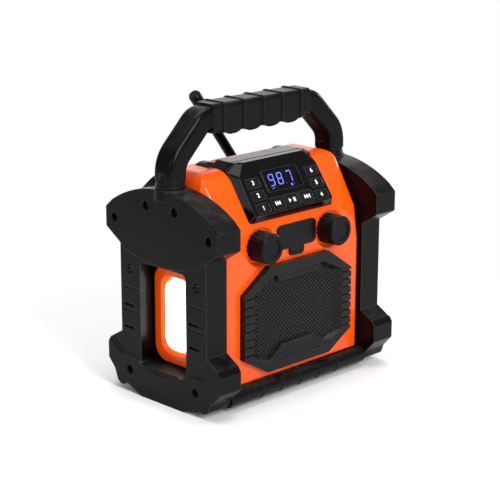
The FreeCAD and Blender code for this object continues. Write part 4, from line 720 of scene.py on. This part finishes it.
SCREEN = Moulded("screen_film", (0.0010, 0.0011, 0.0020), (0.002, 0.002, 0.004), 0.3, grain=0.000003,
                 rub=0.0, film=0.0, shine=0.05)
CELL = Moulded("cell_wrap", (0.12, 0.30, 0.42), (0.3, 0.45, 0.5), 0.3)
PAPER = Moulded("cone_paper", (0.02, 0.02, 0.022), (0.05, 0.05, 0.05), 0.8, grain=0.00008)
MESH = Moulded("mesh_paint", (0.020, 0.020, 0.022), (0.04, 0.04, 0.042), 0.28, grain=0.000004,
               edge=0.0002, rub=0.1, tone=0.02, film=0.0, coat=0.12)
# Painted shade: the screw steel is made near-black so the screws in their recesses read as dark holes. The
# rail tubes and the magnet share it.
SCREW_SHADE_DARKENED = Metal("screw_steel_shade_darkened", (0.025, 0.025, 0.027), 0.3, 0.8)
STEEL = Metal("plated_steel", (0.60, 0.61, 0.63), 0.28)
LENS = Lit("lamp_lens", (0.90, 0.91, 0.92), (1.0, 0.99, 0.96), 6.0)
PHOSPHOR = Lit("led_phosphor", (0.95, 0.85, 0.45), (1.0, 0.93, 0.7), 1.0)
DIGITS = Lit("blue_digits", (0.10, 0.12, 0.6), (0.24, 0.26, 1.0), 1.6)
# Painted glow: the white print gives off light of its own, though it is no lamp.
PRINT_PAINTED_GLOW = Lit("white_print_painted_glow", (0.95, 0.95, 0.95), (1.0, 1.0, 1.0), 0.35, roughness=0.5)
WINDOW = Pane("window_tint", (0.80, 0.82, 0.90))
CIRCUIT = Board("circuit_board", (0.03, 0.16, 0.07), (0.06, 0.26, 0.12))
FLOOR = Floor("floor")

# The finish of each CAD node.
DRESSING: dict[str, Finish] = {
    "left_guard": BUMPER, "right_guard": BUMPER, "guard_screws": SCREW_SHADE_DARKENED, "front_casing": ORANGE,
    "rear_cover": BLACK, "rear_screws": SCREW_SHADE_DARKENED, "battery_door": BLACK, "battery_door_pins": STEEL,
    "battery_tray": BLACK, "battery_cells": CELL, "battery_contacts": STEEL, "handle_frame": BUMPER,
    "handle_grip": SOFT, "handle_collars": SOFT, "front_rail_tube": SCREW_SHADE_DARKENED, "front_rail_sleeve": SOFT,
    "rear_rail_tube": SCREW_SHADE_DARKENED, "rear_rail_sleeve": SOFT, "display_housing": HOUSING, "lcd_module": SCREEN,
    "keypad_board": CIRCUIT, "left_knob": KNOB, "left_knob_shaft": STEEL, "tuning_encoder": BLACK,
    "right_knob": KNOB, "right_knob_shaft": STEEL, "volume_potentiometer": BLACK, "port_panel": BLACK,
    "usb_socket": STEEL, "round_jacks": BLACK, "port_cover": SOFT, "grille_frame": GRILLE,
    "speaker_gasket": SOFT, "speaker_basket": STEEL, "speaker_cone": PAPER, "speaker_magnet": SCREW_SHADE_DARKENED,
    "lamp_tray": BLACK, "lamp_bezel": ORANGE, "lamp_board": CIRCUIT, "lamp_leds": PHOSPHOR,
    "lamp_lens": LENS, "right_end_panel": BLACK, "antenna_socket": BLACK, "antenna_swivel": STEEL,
    "antenna_pin": STEEL, "antenna_rod": SOFT, "antenna_cap": SOFT, "main_board": CIRCUIT,
    "tuner_module": STEEL, "button_1": KEY, "button_2": KEY, "button_3": KEY, "button_4": KEY,
    "button_5": KEY, "button_6": KEY, "back_button": KEY, "play_button": KEY, "next_button": KEY,
    "grille_mesh": MESH, "display_window": WINDOW,
}

# The two ends of each segment of a digit, as shares of its width and height.
SEGMENTS = {
    "a": ((0, 1), (1, 1)), "b": ((1, 1), (1, 0.5)), "c": ((1, 0.5), (1, 0)), "d": ((0, 0), (1, 0)),
    "e": ((0, 0.5), (0, 0)), "f": ((0, 1), (0, 0.5)), "g": ((0, 0.5), (1, 0.5)),
}

# The segments that are lit for each digit shown.
LIT_SEGMENTS = {"7": "abc", "8": "abcdefg", "9": "abcdfg"}

# The marks of each symbol, with the place of an arrow's tip or a bar's left side, in millimetres.
SYMBOLS = {
    "back_button": ((Mark.BACK, -2.6), (Mark.BACK, 0.0), (Mark.BAR, -3.2)),
    "play_button": ((Mark.AHEAD, -1.6), (Mark.BAR, 1.2), (Mark.BAR, 2.8)),
    "next_button": ((Mark.AHEAD, 0.0), (Mark.AHEAD, 2.6), (Mark.BAR, 3.2)),
}


class Wardrobe:
    """Makes each finish once and puts it on objects."""

    def __init__(self) -> None:
        """Start with nothing made."""
        self._made: dict[str, bpy.types.Material] = {}

    def material(self, finish: Finish) -> bpy.types.Material:
        """Give the material of a finish, made at its first use.

        Args:
            finish: The finish.

        Returns:
            Its material.
        """
        if finish.name not in self._made:
            self._made[finish.name] = finish.build()
        return self._made[finish.name]

    def dress(self, piece: bpy.types.Object, finish: Finish) -> None:
        """Give an object one finish all over.

        Args:
            piece: The object.
            finish: The finish.
        """
        piece.data.materials.clear()
        piece.data.materials.append(self.material(finish))


WARDROBE = Wardrobe()


def place_object(name: str, data: bpy.types.ID) -> bpy.types.Object:
    """Put a mesh, curve, camera or light into the scene.

    Args:
        name: The object's name.
        data: What it holds.

    Returns:
        The new object.
    """
    piece = bpy.data.objects.new(name, data)
    bpy.context.scene.collection.objects.link(piece)
    return piece


def mesh_object(name: str, shape: bmesh.types.BMesh, finish: Finish) -> bpy.types.Object:
    """Turn a finished bmesh into an object in the scene.

    Args:
        name: The piece's name.
        shape: The bmesh, which is freed.
        finish: The finish to give it.

    Returns:
        The new object.
    """
    data = bpy.data.meshes.new(name)
    bmesh.ops.recalc_face_normals(shape, faces=shape.faces)
    shape.to_mesh(data)
    shape.free()
    piece = place_object(name, data)
    WARDROBE.dress(piece, finish)
    return piece


def add_slab(shape: bmesh.types.BMesh, outline: list[Vector], depth: Vector) -> None:
    """Add a closed slab to a bmesh.

    Args:
        shape: The bmesh to add to.
        outline: The corners of one flat side, in order.
        depth: From that side to the other.
    """
    near = [shape.verts.new(corner) for corner in outline]
    far = [shape.verts.new(corner + depth) for corner in outline]
    shape.faces.new(near)
    shape.faces.new(list(reversed(far)))
    count = len(outline)
    for index in range(count):
        after = (index + 1) % count
        shape.faces.new((near[after], near[index], far[index], far[after]))


FRAME: dict[str, object] = {}


def frame_node(name: str) -> bpy.types.Object:
    """The object of a CAD node."""
    return FRAME["nodes"][name]


def joint_axis(name: str) -> Vector:
    """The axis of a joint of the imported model."""
    found = [joint for joint in FRAME["joints"] if joint["name"] == name]
    return Vector(found[0]["axis"]).normalized()


@dataclass(frozen=True)
class Plane:
    """The leaning display plane: a place on it, and its directions.

    Args:
        origin: A point on the plane.
        across: To the right along the front.
        up: Up the slope.
        out: Out of the panel.
    """

    origin: Vector
    across: Vector
    up: Vector
    out: Vector

    def point(self, x: float, y: float, lift: float) -> Vector:
        """A point from its coordinates on the plane and its lift off it."""
        return self.origin + self.across * x + self.up * y + self.out * lift

    def spans(self, node: str) -> list[Span]:
        """Measure how far a CAD node reaches on the plane.

        Args:
            node: The node's name.

        Returns:
            The lowest and highest values across, up and out.
        """
        corners = [vertex.co - self.origin for vertex in frame_node(node).data.vertices]
        reach = []
        for axis in (self.across, self.up, self.out):
            values = [corner.dot(axis) for corner in corners]
            reach.append((min(values), max(values)))
        return reach


@dataclass
class Display:
    """The clear pane, the lit digits behind it, and the marks on the buttons.

    Args:
        pane_thick: Thickness of the pane.
        pane_rim: Width of the bevel round it.
        digits: What the display shows.
        digit_height: Height of a digit.
        digit_wide: Its width, as a share of its height.
        digit_drop: Its foot under the display's middle, as a share of its height.
        digit_pitch: Distance from one digit to the next.
        digit_shift: How far right of the middle the digits stand.
        last_gap: Extra room before the last digit.
        slant: How far a digit's top leans over its foot, as a share of its height.
        stroke: Width of one segment.
        lit_thick: Thickness of a segment, and its gap to the module behind it.
        point_gap: From the point's left end to where the last digit would stand without extra room.
        point_wide: Width of the point.
        small_drop: Foot of the small marks under the digits' foot.
        uprights: How many small marks stand upright under the first digit.
        upright_pitch: Distance from one to the next.
        upright_drop: Top of the first one under the digits' foot.
        upright_step: How much higher each next one reaches.
        dash_shift: From the last digit's place to the small marks that lie flat under it.
        dashes: Left end, right end and height of each of those, in millimetres.
        numbered: How many buttons carry a number.
        number_height: Height of the numbers.
        number_font: Font size that gives a digit a height of 1.
        number_bold: How much the numbers are thickened.
        number_raise: Half the thickness of the numbers.
        mark_half: Half the height of an arrow or a bar.
        arrow_long: Length of an arrow.
        bar_wide: Width of a bar.
        mark_gap: Gap between a symbol and its button.
        mark_thick: Thickness of a symbol.
    """

    pane_thick: float = 1.2 * MM
    pane_rim: float = 0.5 * MM
    digits: str = "987"
    digit_height: float = 10.0 * MM
    digit_wide: float = 0.52
    digit_drop: float = 0.42
    digit_pitch: float = 10.0 * MM
    digit_shift: float = 1.0 * MM
    last_gap: float = 1.2 * MM
    slant: float = 0.12
    stroke: float = 0.85 * MM
    lit_thick: float = 0.05 * MM
    point_gap: float = 1.9 * MM
    point_wide: float = 0.9 * MM
    small_drop: float = 3.0 * MM
    uprights: int = 3
    upright_pitch: float = 1.2 * MM
    upright_drop: float = 2.4 * MM
    upright_step: float = 0.5 * MM
    dash_shift: float = 2.5 * MM
    dashes: tuple[Place, ...] = ((0.0, 2.6, 0.0), (0.0, 2.6, 1.2), (3.4, 4.6, 0.6))
    numbered: int = 6
    number_height: float = 3.8 * MM
    number_font: float = 1.4
    number_bold: float = 0.12 * MM
    number_raise: float = 0.02 * MM
    mark_half: float = 1.9 * MM
    arrow_long: float = 2.6 * MM
    bar_wide: float = 0.8 * MM
    mark_gap: float = 0.01 * MM
    mark_thick: float = 0.03 * MM
    plane: Plane = field(init=False)

    def build(self) -> list[bpy.types.Object]:
        """Build all the display's pieces.

        Returns:
            The pieces.
        """
        out = -joint_axis("button_1_press")
        across = Vector((1, 0, 0))
        low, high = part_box("display_window")
        self.plane = Plane((low + high) / 2, across, out.cross(across), out)
        pieces = [self.build_pane(), self.build_digits()]
        pieces += [self.build_number(number) for number in range(1, self.numbered + 1)]
        pieces += [self.build_symbol(node) for node in SYMBOLS]
        return pieces

    def build_pane(self) -> bpy.types.Object:
        """Build the clear pane, with a bevelled rim, in the place of the plain CAD window.

        Returns:
            The pane.
        """
        (left, right), (foot, top), (_, front) = self.plane.spans("display_window")
        shape = bmesh.new()
        rings = []
        rim = self.pane_rim
        for inset, lift in ((0.0, front - self.pane_thick), (0.0, front - rim), (rim, front)):
            corners = ((left + inset, foot + inset), (right - inset, foot + inset),
                       (right - inset, top - inset), (left + inset, top - inset))
            rings.append([shape.verts.new(self.plane.point(x, y, lift)) for x, y in corners])
        for lower, upper in zip(rings, rings[1:]):
            for index in range(len(lower)):
                after = (index + 1) % len(lower)
                shape.faces.new((lower[index], lower[after], upper[after], upper[index]))
        shape.faces.new(list(reversed(rings[0])))
        shape.faces.new(rings[-1])
        pane = mesh_object("display_pane", shape, WINDOW)
        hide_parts("display_window")
        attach(pane, "radio")
        return pane

    def build_digits(self) -> bpy.types.Object:
        """Build the lit digits, the point before the last one, and the small marks under them.

        Returns:
            The lit piece.
        """
        shape = bmesh.new()
        high, wide = self.digit_height, self.digit_height * self.digit_wide
        start = -self.digit_pitch * len(self.digits) / 2 + self.digit_shift
        foot = -high * self.digit_drop
        last = len(self.digits) - 1
        last_start = start + last * self.digit_pitch
        for number, digit in enumerate(self.digits):
            left = start + number * self.digit_pitch + (self.last_gap if number == last else 0.0)
            for name in LIT_SEGMENTS[digit]:
                self.add_segment(shape, *((left + x * wide + y * high * self.slant, foot + y * high)
                                          for x, y in SEGMENTS[name]))
        point = last_start - self.point_gap
        self.add_segment(shape, (point, foot), (point + self.point_wide, foot))
        for number in range(self.uprights):
            left = start + number * self.upright_pitch
            upright_top = foot - (self.upright_drop - self.upright_step * number)
            self.add_segment(shape, (left, foot - self.small_drop), (left, upright_top))
        for left, right, up in self.dashes:
            level = foot - self.small_drop + up * MM
            across = last_start + self.dash_shift
            self.add_segment(shape, (across + left * MM, level), (across + right * MM, level))
        piece = mesh_object("display_digits", shape, DIGITS)
        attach(piece, "radio")
        return piece

    def add_segment(self, shape: bmesh.types.BMesh, start: Point2, end: Point2) -> None:
        """Add one segment with pointed ends in front of the display module.

        Args:
            shape: The bmesh to add to.
            start: One end on the plane.
            end: The other end on the plane.
        """
        gap_share, point_share = 0.2, 0.3  # of a short segment's length
        lift = self.plane.spans("lcd_module")[2][1] + self.lit_thick
        along = Vector((end[0] - start[0], end[1] - start[1]))
        length = along.length
        along.normalize()
        side = Vector((-along.y, along.x)) * self.stroke / 2
        gap = min(self.stroke / 4, length * gap_share)
        first = Vector(start) + along * gap
        last = Vector(end) - along * gap
        point = along * min(self.stroke / 2, length * point_share)
        outline = (first, first + point + side, last - point + side,
                   last, last - point - side, first + point - side)
        corners = [self.plane.point(corner.x, corner.y, lift) for corner in outline]
        add_slab(shape, corners, self.plane.out * self.lit_thick)

    def cap_centre(self, node: str) -> Place:
        """Find the middle of a button's top.

        Args:
            node: The button's name.

        Returns:
            Its place across, up and out.
        """
        (left, right), (foot, top), (_, front) = self.plane.spans(node)
        return (left + right) / 2, (foot + top) / 2, front

    def build_number(self, number: int) -> bpy.types.Object:
        """Print a button's number on it.

        Args:
            number: The number, which is in the button's name and its body's.

        Returns:
            The print.
        """
        node = f"button_{number}"
        curve = bpy.data.curves.new(node + "_number", "FONT")
        curve.body = str(number)
        curve.size = self.number_height * self.number_font
        curve.align_x = "CENTER"
        curve.align_y = "CENTER"
        curve.extrude = self.number_raise
        curve.offset = self.number_bold
        holder = place_object(node + "_text", curve)
        data = bpy.data.meshes.new_from_object(holder)
        bpy.data.objects.remove(holder)
        x, y, lift = self.cap_centre(node)
        turn = Matrix((self.plane.across, self.plane.up, self.plane.out)).transposed().to_4x4()
        data.transform(Matrix.Translation(self.plane.point(x, y, lift + self.number_raise)) @ turn)
        data.name = node + "_number"
        piece = place_object(node + "_number", data)
        WARDROBE.dress(piece, PRINT_PAINTED_GLOW)
        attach(piece, node)
        return piece

    def mark_outline(self, mark: Mark, at: float) -> list[Point2]:
        """Draw one mark of a symbol.

        Args:
            mark: Which shape.
            at: Where an arrow's tip or a bar's left side lies.

        Returns:
            Its corners.
        """
        half = self.mark_half
        if mark is Mark.BAR:
            return [(at, -half), (at + self.bar_wide, -half), (at + self.bar_wide, half), (at, half)]
        base = at - self.arrow_long if mark is Mark.AHEAD else at + self.arrow_long
        return [(base, -half), (at, 0.0), (base, half)]

    def build_symbol(self, node: str) -> bpy.types.Object:
        """Print a symbol on a button.

        Args:
            node: The button's name, which is also its body's.

        Returns:
            The symbol.
        """
        x, y, lift = self.cap_centre(node)
        shape = bmesh.new()
        for mark, at in SYMBOLS[node]:
            corners = [self.plane.point(x + dx, y + dy, lift + self.mark_gap)
                       for dx, dy in self.mark_outline(mark, at * MM)]
            add_slab(shape, corners, self.plane.out * self.mark_thick)
        piece = mesh_object(node + "_symbol", shape, PRINT_PAINTED_GLOW)
        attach(piece, node)
        return piece


@dataclass
class SpeakerMesh:
    """The fine crossed mesh of the speaker grille, in the place of the plain slotted plate.

    Args:
        pitch: Distance from one wire to the next.
        wide: Width of a wire.
        flat: Share of its width that is flat in front.
        deep: Depth of a wire.
        layers: Turn of each layer of wires in degrees, and its gap to the plate's front.
        wires: How many wires to try on each side of the middle one.
        border: The border's inner edge across and up, as a share of the outline.
        cloth_room: Room for the painted shade sheet behind the wires.
        cloth_share: Size of the shade sheet, as a share of the outline.
        slack: How near a corner lies to the edge that it belongs to.
    """

    pitch: float = 2.7 * MM
    wide: float = 0.8 * MM
    flat: float = 0.5
    deep: float = 0.35 * MM
    layers: tuple[Span, ...] = ((45.0, 0.05 * MM), (-45.0, 0.2 * MM))
    wires: int = 60
    border: Span = (0.965, 0.955)
    cloth_room: float = 0.1 * MM
    cloth_share: float = 0.99
    slack: float = 0.2 * MM

    def outline(self) -> list[Point2]:
        """Find the eight corners of the mesh, in X and Z.

        Returns:
            The corners, counter-clockwise.
        """
        data = frame_node("grille_mesh").data
        low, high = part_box("grille_mesh")
        bottom = [v.co.x for v in data.vertices if v.co.z < low.z + self.slack]
        top = [v.co.x for v in data.vertices if v.co.z > high.z - self.slack]
        side = [v.co.z for v in data.vertices if v.co.x < low.x + self.slack]
        half, bottom_half, top_half = high.x, max(bottom), max(top)
        return [(-bottom_half, low.z), (bottom_half, low.z), (half, min(side)), (half, max(side)),
                (top_half, high.z), (-top_half, high.z), (-half, max(side)), (-half, min(side))]

    def clip(self, start: Vector, along: Vector, corners: list[Point2]) -> Span:
        """Find where a line crosses the outline.

        Args:
            start: A point on the line.
            along: Its direction.
            corners: The convex outline, counter-clockwise.

        Returns:
            The distances along the line where it enters and leaves; enter is past leave if it misses.
        """
        parallel, beyond = 1e-9, 1.0
        enter, leave = -beyond, beyond
        count = len(corners)
        for index in range(count):
            a, b = Vector(corners[index]), Vector(corners[(index + 1) % count])
            inward = Vector((-(b - a).y, (b - a).x)).normalized()
            distance = (start - a).dot(inward)
            speed = along.dot(inward)
            if abs(speed) < parallel:
                if distance < 0:
                    return beyond, -beyond
            elif speed > 0:
                enter = max(enter, -distance / speed)
            else:
                leave = min(leave, -distance / speed)
        return enter, leave

    def build(self) -> list[bpy.types.Object]:
        """Build the wires with their border, and the near-black sheet of painted shade behind them.

        Returns:
            The mesh and the shade sheet.
        """
        low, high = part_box("grille_mesh")
        corners = self.outline()
        shape = bmesh.new()
        middle = Vector(((low.x + high.x) / 2, (low.z + high.z) / 2))
        for turn, gap in self.layers:
            angle = math.radians(turn)
            along = Vector((math.cos(angle), math.sin(angle)))
            aside = Vector((-along.y, along.x))
            for number in range(-self.wires, self.wires + 1):
                start = middle + aside * number * self.pitch
                enter, leave = self.clip(start, along, corners)
                if leave - enter > self.pitch:
                    self.add_wire(shape, start + along * enter, start + along * leave, aside, low.y + gap)
        self.add_border(shape, corners, middle, low.y, high.y)
        piece = mesh_object("speaker_mesh", shape, MESH)
        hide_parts("grille_mesh")
        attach(piece, "radio")
        return [piece, self.build_cloth(corners, high.y)]

    def add_wire(self, shape: bmesh.types.BMesh, start: Vector, end: Vector, aside: Vector,
                 front: float) -> None:
        """Add one wire with a raised, flat front.

        Args:
            shape: The bmesh to add to.
            start: One end, in X and Z.
            end: The other end.
            aside: Across the wire.
            front: The Y of its front.
        """
        side = aside * self.wide / 2
        profile = ((-1.0, self.deep), (-self.flat, 0.0), (self.flat, 0.0), (1.0, self.deep))
        rings = []
        for middle in (start, end):
            ring = []
            for share, back in profile:
                spot = middle + side * share
                ring.append(shape.verts.new((spot.x, front + back, spot.y)))
            rings.append(ring)
        first, last = rings
        for index in range(3):
            shape.faces.new((first[index], last[index], last[index + 1], first[index + 1]))
        shape.faces.new((first[3], last[3], last[0], first[0]))
        shape.faces.new(first)
        shape.faces.new(list(reversed(last)))

    def add_border(self, shape: bmesh.types.BMesh, corners: list[Point2], middle: Vector, front: float,
                   back: float) -> None:
        """Add the plain border round the wires.

        Args:
            shape: The bmesh to add to.
            corners: The outline in X and Z.
            middle: The middle of the mesh in X and Z.
            front: The Y of its front.
            back: The Y of its back.
        """
        across, up = self.border
        inner = [((x - middle.x) * across + middle.x, (z - middle.y) * up + middle.y) for x, z in corners]
        count = len(corners)
        for index in range(count):
            after = (index + 1) % count
            ring = [corners[index], corners[after], inner[after], inner[index]]
            add_slab(shape, [Vector((x, front, z)) for x, z in ring], Vector((0, back - front, 0)))

    def build_cloth(self, corners: list[Point2], back: float) -> bpy.types.Object:
        """Build the near-black sheet behind the wires, a thin flat slab that paints the shade inside the
        speaker.

        Args:
            corners: The mesh's outline in X and Z.
            back: The Y of the mesh's back.

        Returns:
            The shade sheet.
        """
        share = self.cloth_share
        shape = bmesh.new()
        middle = sum(z for _, z in corners) / len(corners)
        front = back - self.cloth_room
        inner = [Vector((x * share, front, (z - middle) * share + middle)) for x, z in corners]
        add_slab(shape, inner, Vector((0, self.cloth_room / 2, 0)))
        piece = mesh_object("speaker_shade_sheet", shape, SHADE_SHEET)
        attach(piece, "radio")
        return piece


@dataclass(frozen=True)
class Lamp:
    """A square soft light.

    Args:
        name: The light's name, which says where it stands for the camera.
        place: Where it hangs.
        aim: The height on the object's middle line that it points at.
        size: Its width.
        power: Its power in watts.
    """

    name: str
    place: Place
    aim: float
    size: float
    power: float

    def build(self) -> None:
        """Hang the light in the scene."""
        data = bpy.data.lights.new(self.name, "AREA")
        data.size = self.size
        data.energy = self.power
        light = place_object(self.name, data)
        light.location = self.place
        ray = Vector((0.0, 0.0, self.aim)) - Vector(self.place)
        light.rotation_euler = ray.to_track_quat("-Z", "Y").to_euler()


LAMPS = (
    Lamp("glint", (-0.24, -1.2, 1.26), 0.15, 0.2, 4.5),
    Lamp("right", (1.6, -0.1, 0.52), 0.15, 0.25, 4.0),
    Lamp("overhead", (0.0, 0.1, 1.5), 0.1, 1.2, 17.0),
    Lamp("front_right", (-0.35, -1.7, 1.0), 0.1, 0.8, 24.0),
    Lamp("left", (-1.7, -0.3, 0.8), 0.1, 0.7, 3.0),
    Lamp("rear", (1.3, 1.3, 0.62), 0.15, 1.2, 5.0),
)


@dataclass
class Studio:
    """The pale floor, the soft lights and the camera at the photograph's angle.

    Args:
        eye: Where the camera stands.
        yaw: Degrees from looking along +Y towards +X.
        pitch: Degrees that it looks down.
        roll: Degrees that it leans.
        lens: Focal length, in millimetres.
        sensor: Width of the sensor, in millimetres.
        shift_x: Sideways shift of the frame.
        shift_y: Upward shift of the frame.
        floor_size: Half width of the floor.
        surround_seen: Strength of the white surround where the camera sees it.
        surround_light: Its strength where it lights the object.
    """

    eye: Place = (-0.9193, -0.9154, 0.4752)
    yaw: float = 44.98
    pitch: float = 15.64
    roll: float = 0.13
    lens: float = 111.76
    sensor: float = 36.0
    shift_x: float = 0.0007
    shift_y: float = 0.0024
    floor_size: float = 6.0
    surround_seen: float = 1.0
    surround_light: float = 0.35

    def build(self) -> None:
        """Set up everything round the object."""
        bpy.context.scene.view_settings.view_transform = "Standard"
        self.build_camera()
        self.build_world()
        self.build_floor()
        for lamp in LAMPS:
            lamp.build()

    def build_camera(self) -> None:
        """Set up the camera, from its solved place and angles."""
        yaw, pitch, roll = (math.radians(angle) for angle in (self.yaw, self.pitch, self.roll))
        ahead = Vector((math.sin(yaw) * math.cos(pitch), math.cos(yaw) * math.cos(pitch), -math.sin(pitch)))
        right = Vector((math.cos(yaw), -math.sin(yaw), 0.0))
        up = right.cross(ahead)
        level_right = right * math.cos(roll) + up * math.sin(roll)
        level_up = up * math.cos(roll) - right * math.sin(roll)
        data = bpy.data.cameras.new("camera")
        data.lens = self.lens
        data.sensor_width = self.sensor
        data.shift_x = self.shift_x
        data.shift_y = self.shift_y
        camera = place_object("camera", data)
        turn = Matrix((level_right, level_up, -ahead)).transposed().to_4x4()
        camera.matrix_world = Matrix.Translation(self.eye) @ turn
        bpy.context.scene.camera = camera

    def build_world(self) -> None:
        """Set up a surround that is white where the camera sees it, and softer where it lights."""
        world = bpy.data.worlds.new("surround")
        bpy.context.scene.world = world
        world.use_nodes = True
        graph = Graph(world.node_tree)
        seen = graph.add("ShaderNodeLightPath").outputs["Is Camera Ray"]
        strength = graph.ranged(seen, (0.0, 1.0), (self.surround_light, self.surround_seen))
        white = opaque((1.0, 1.0, 1.0))
        graph.fill(world.node_tree.nodes["Background"], {"Strength": strength, "Color": white})

    def build_floor(self) -> None:
        """Lay the flat pale floor."""
        size = self.floor_size
        data = bpy.data.meshes.new("floor")
        data.from_pydata([(-size, -size, 0), (size, -size, 0), (size, size, 0), (-size, size, 0)], [],
                         [(0, 1, 2, 3)])
        floor = place_object("floor", data)
        WARDROBE.dress(floor, FLOOR)


def main() -> None:
    """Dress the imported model, add the fine pieces, and set up the studio."""
    logging.basicConfig(level=logging.INFO, format="%(message)s")
    FRAME.update(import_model())
    for node, finish in DRESSING.items():
        WARDROBE.dress(frame_node(node), finish)
        LOG.info("dressed %s in %s", node, finish.name)
    for maker in (Display(), SpeakerMesh()):
        for piece in maker.build():
            LOG.info("built %s", piece.name)
    Studio().build()


if __name__ == "__main__":
    main()
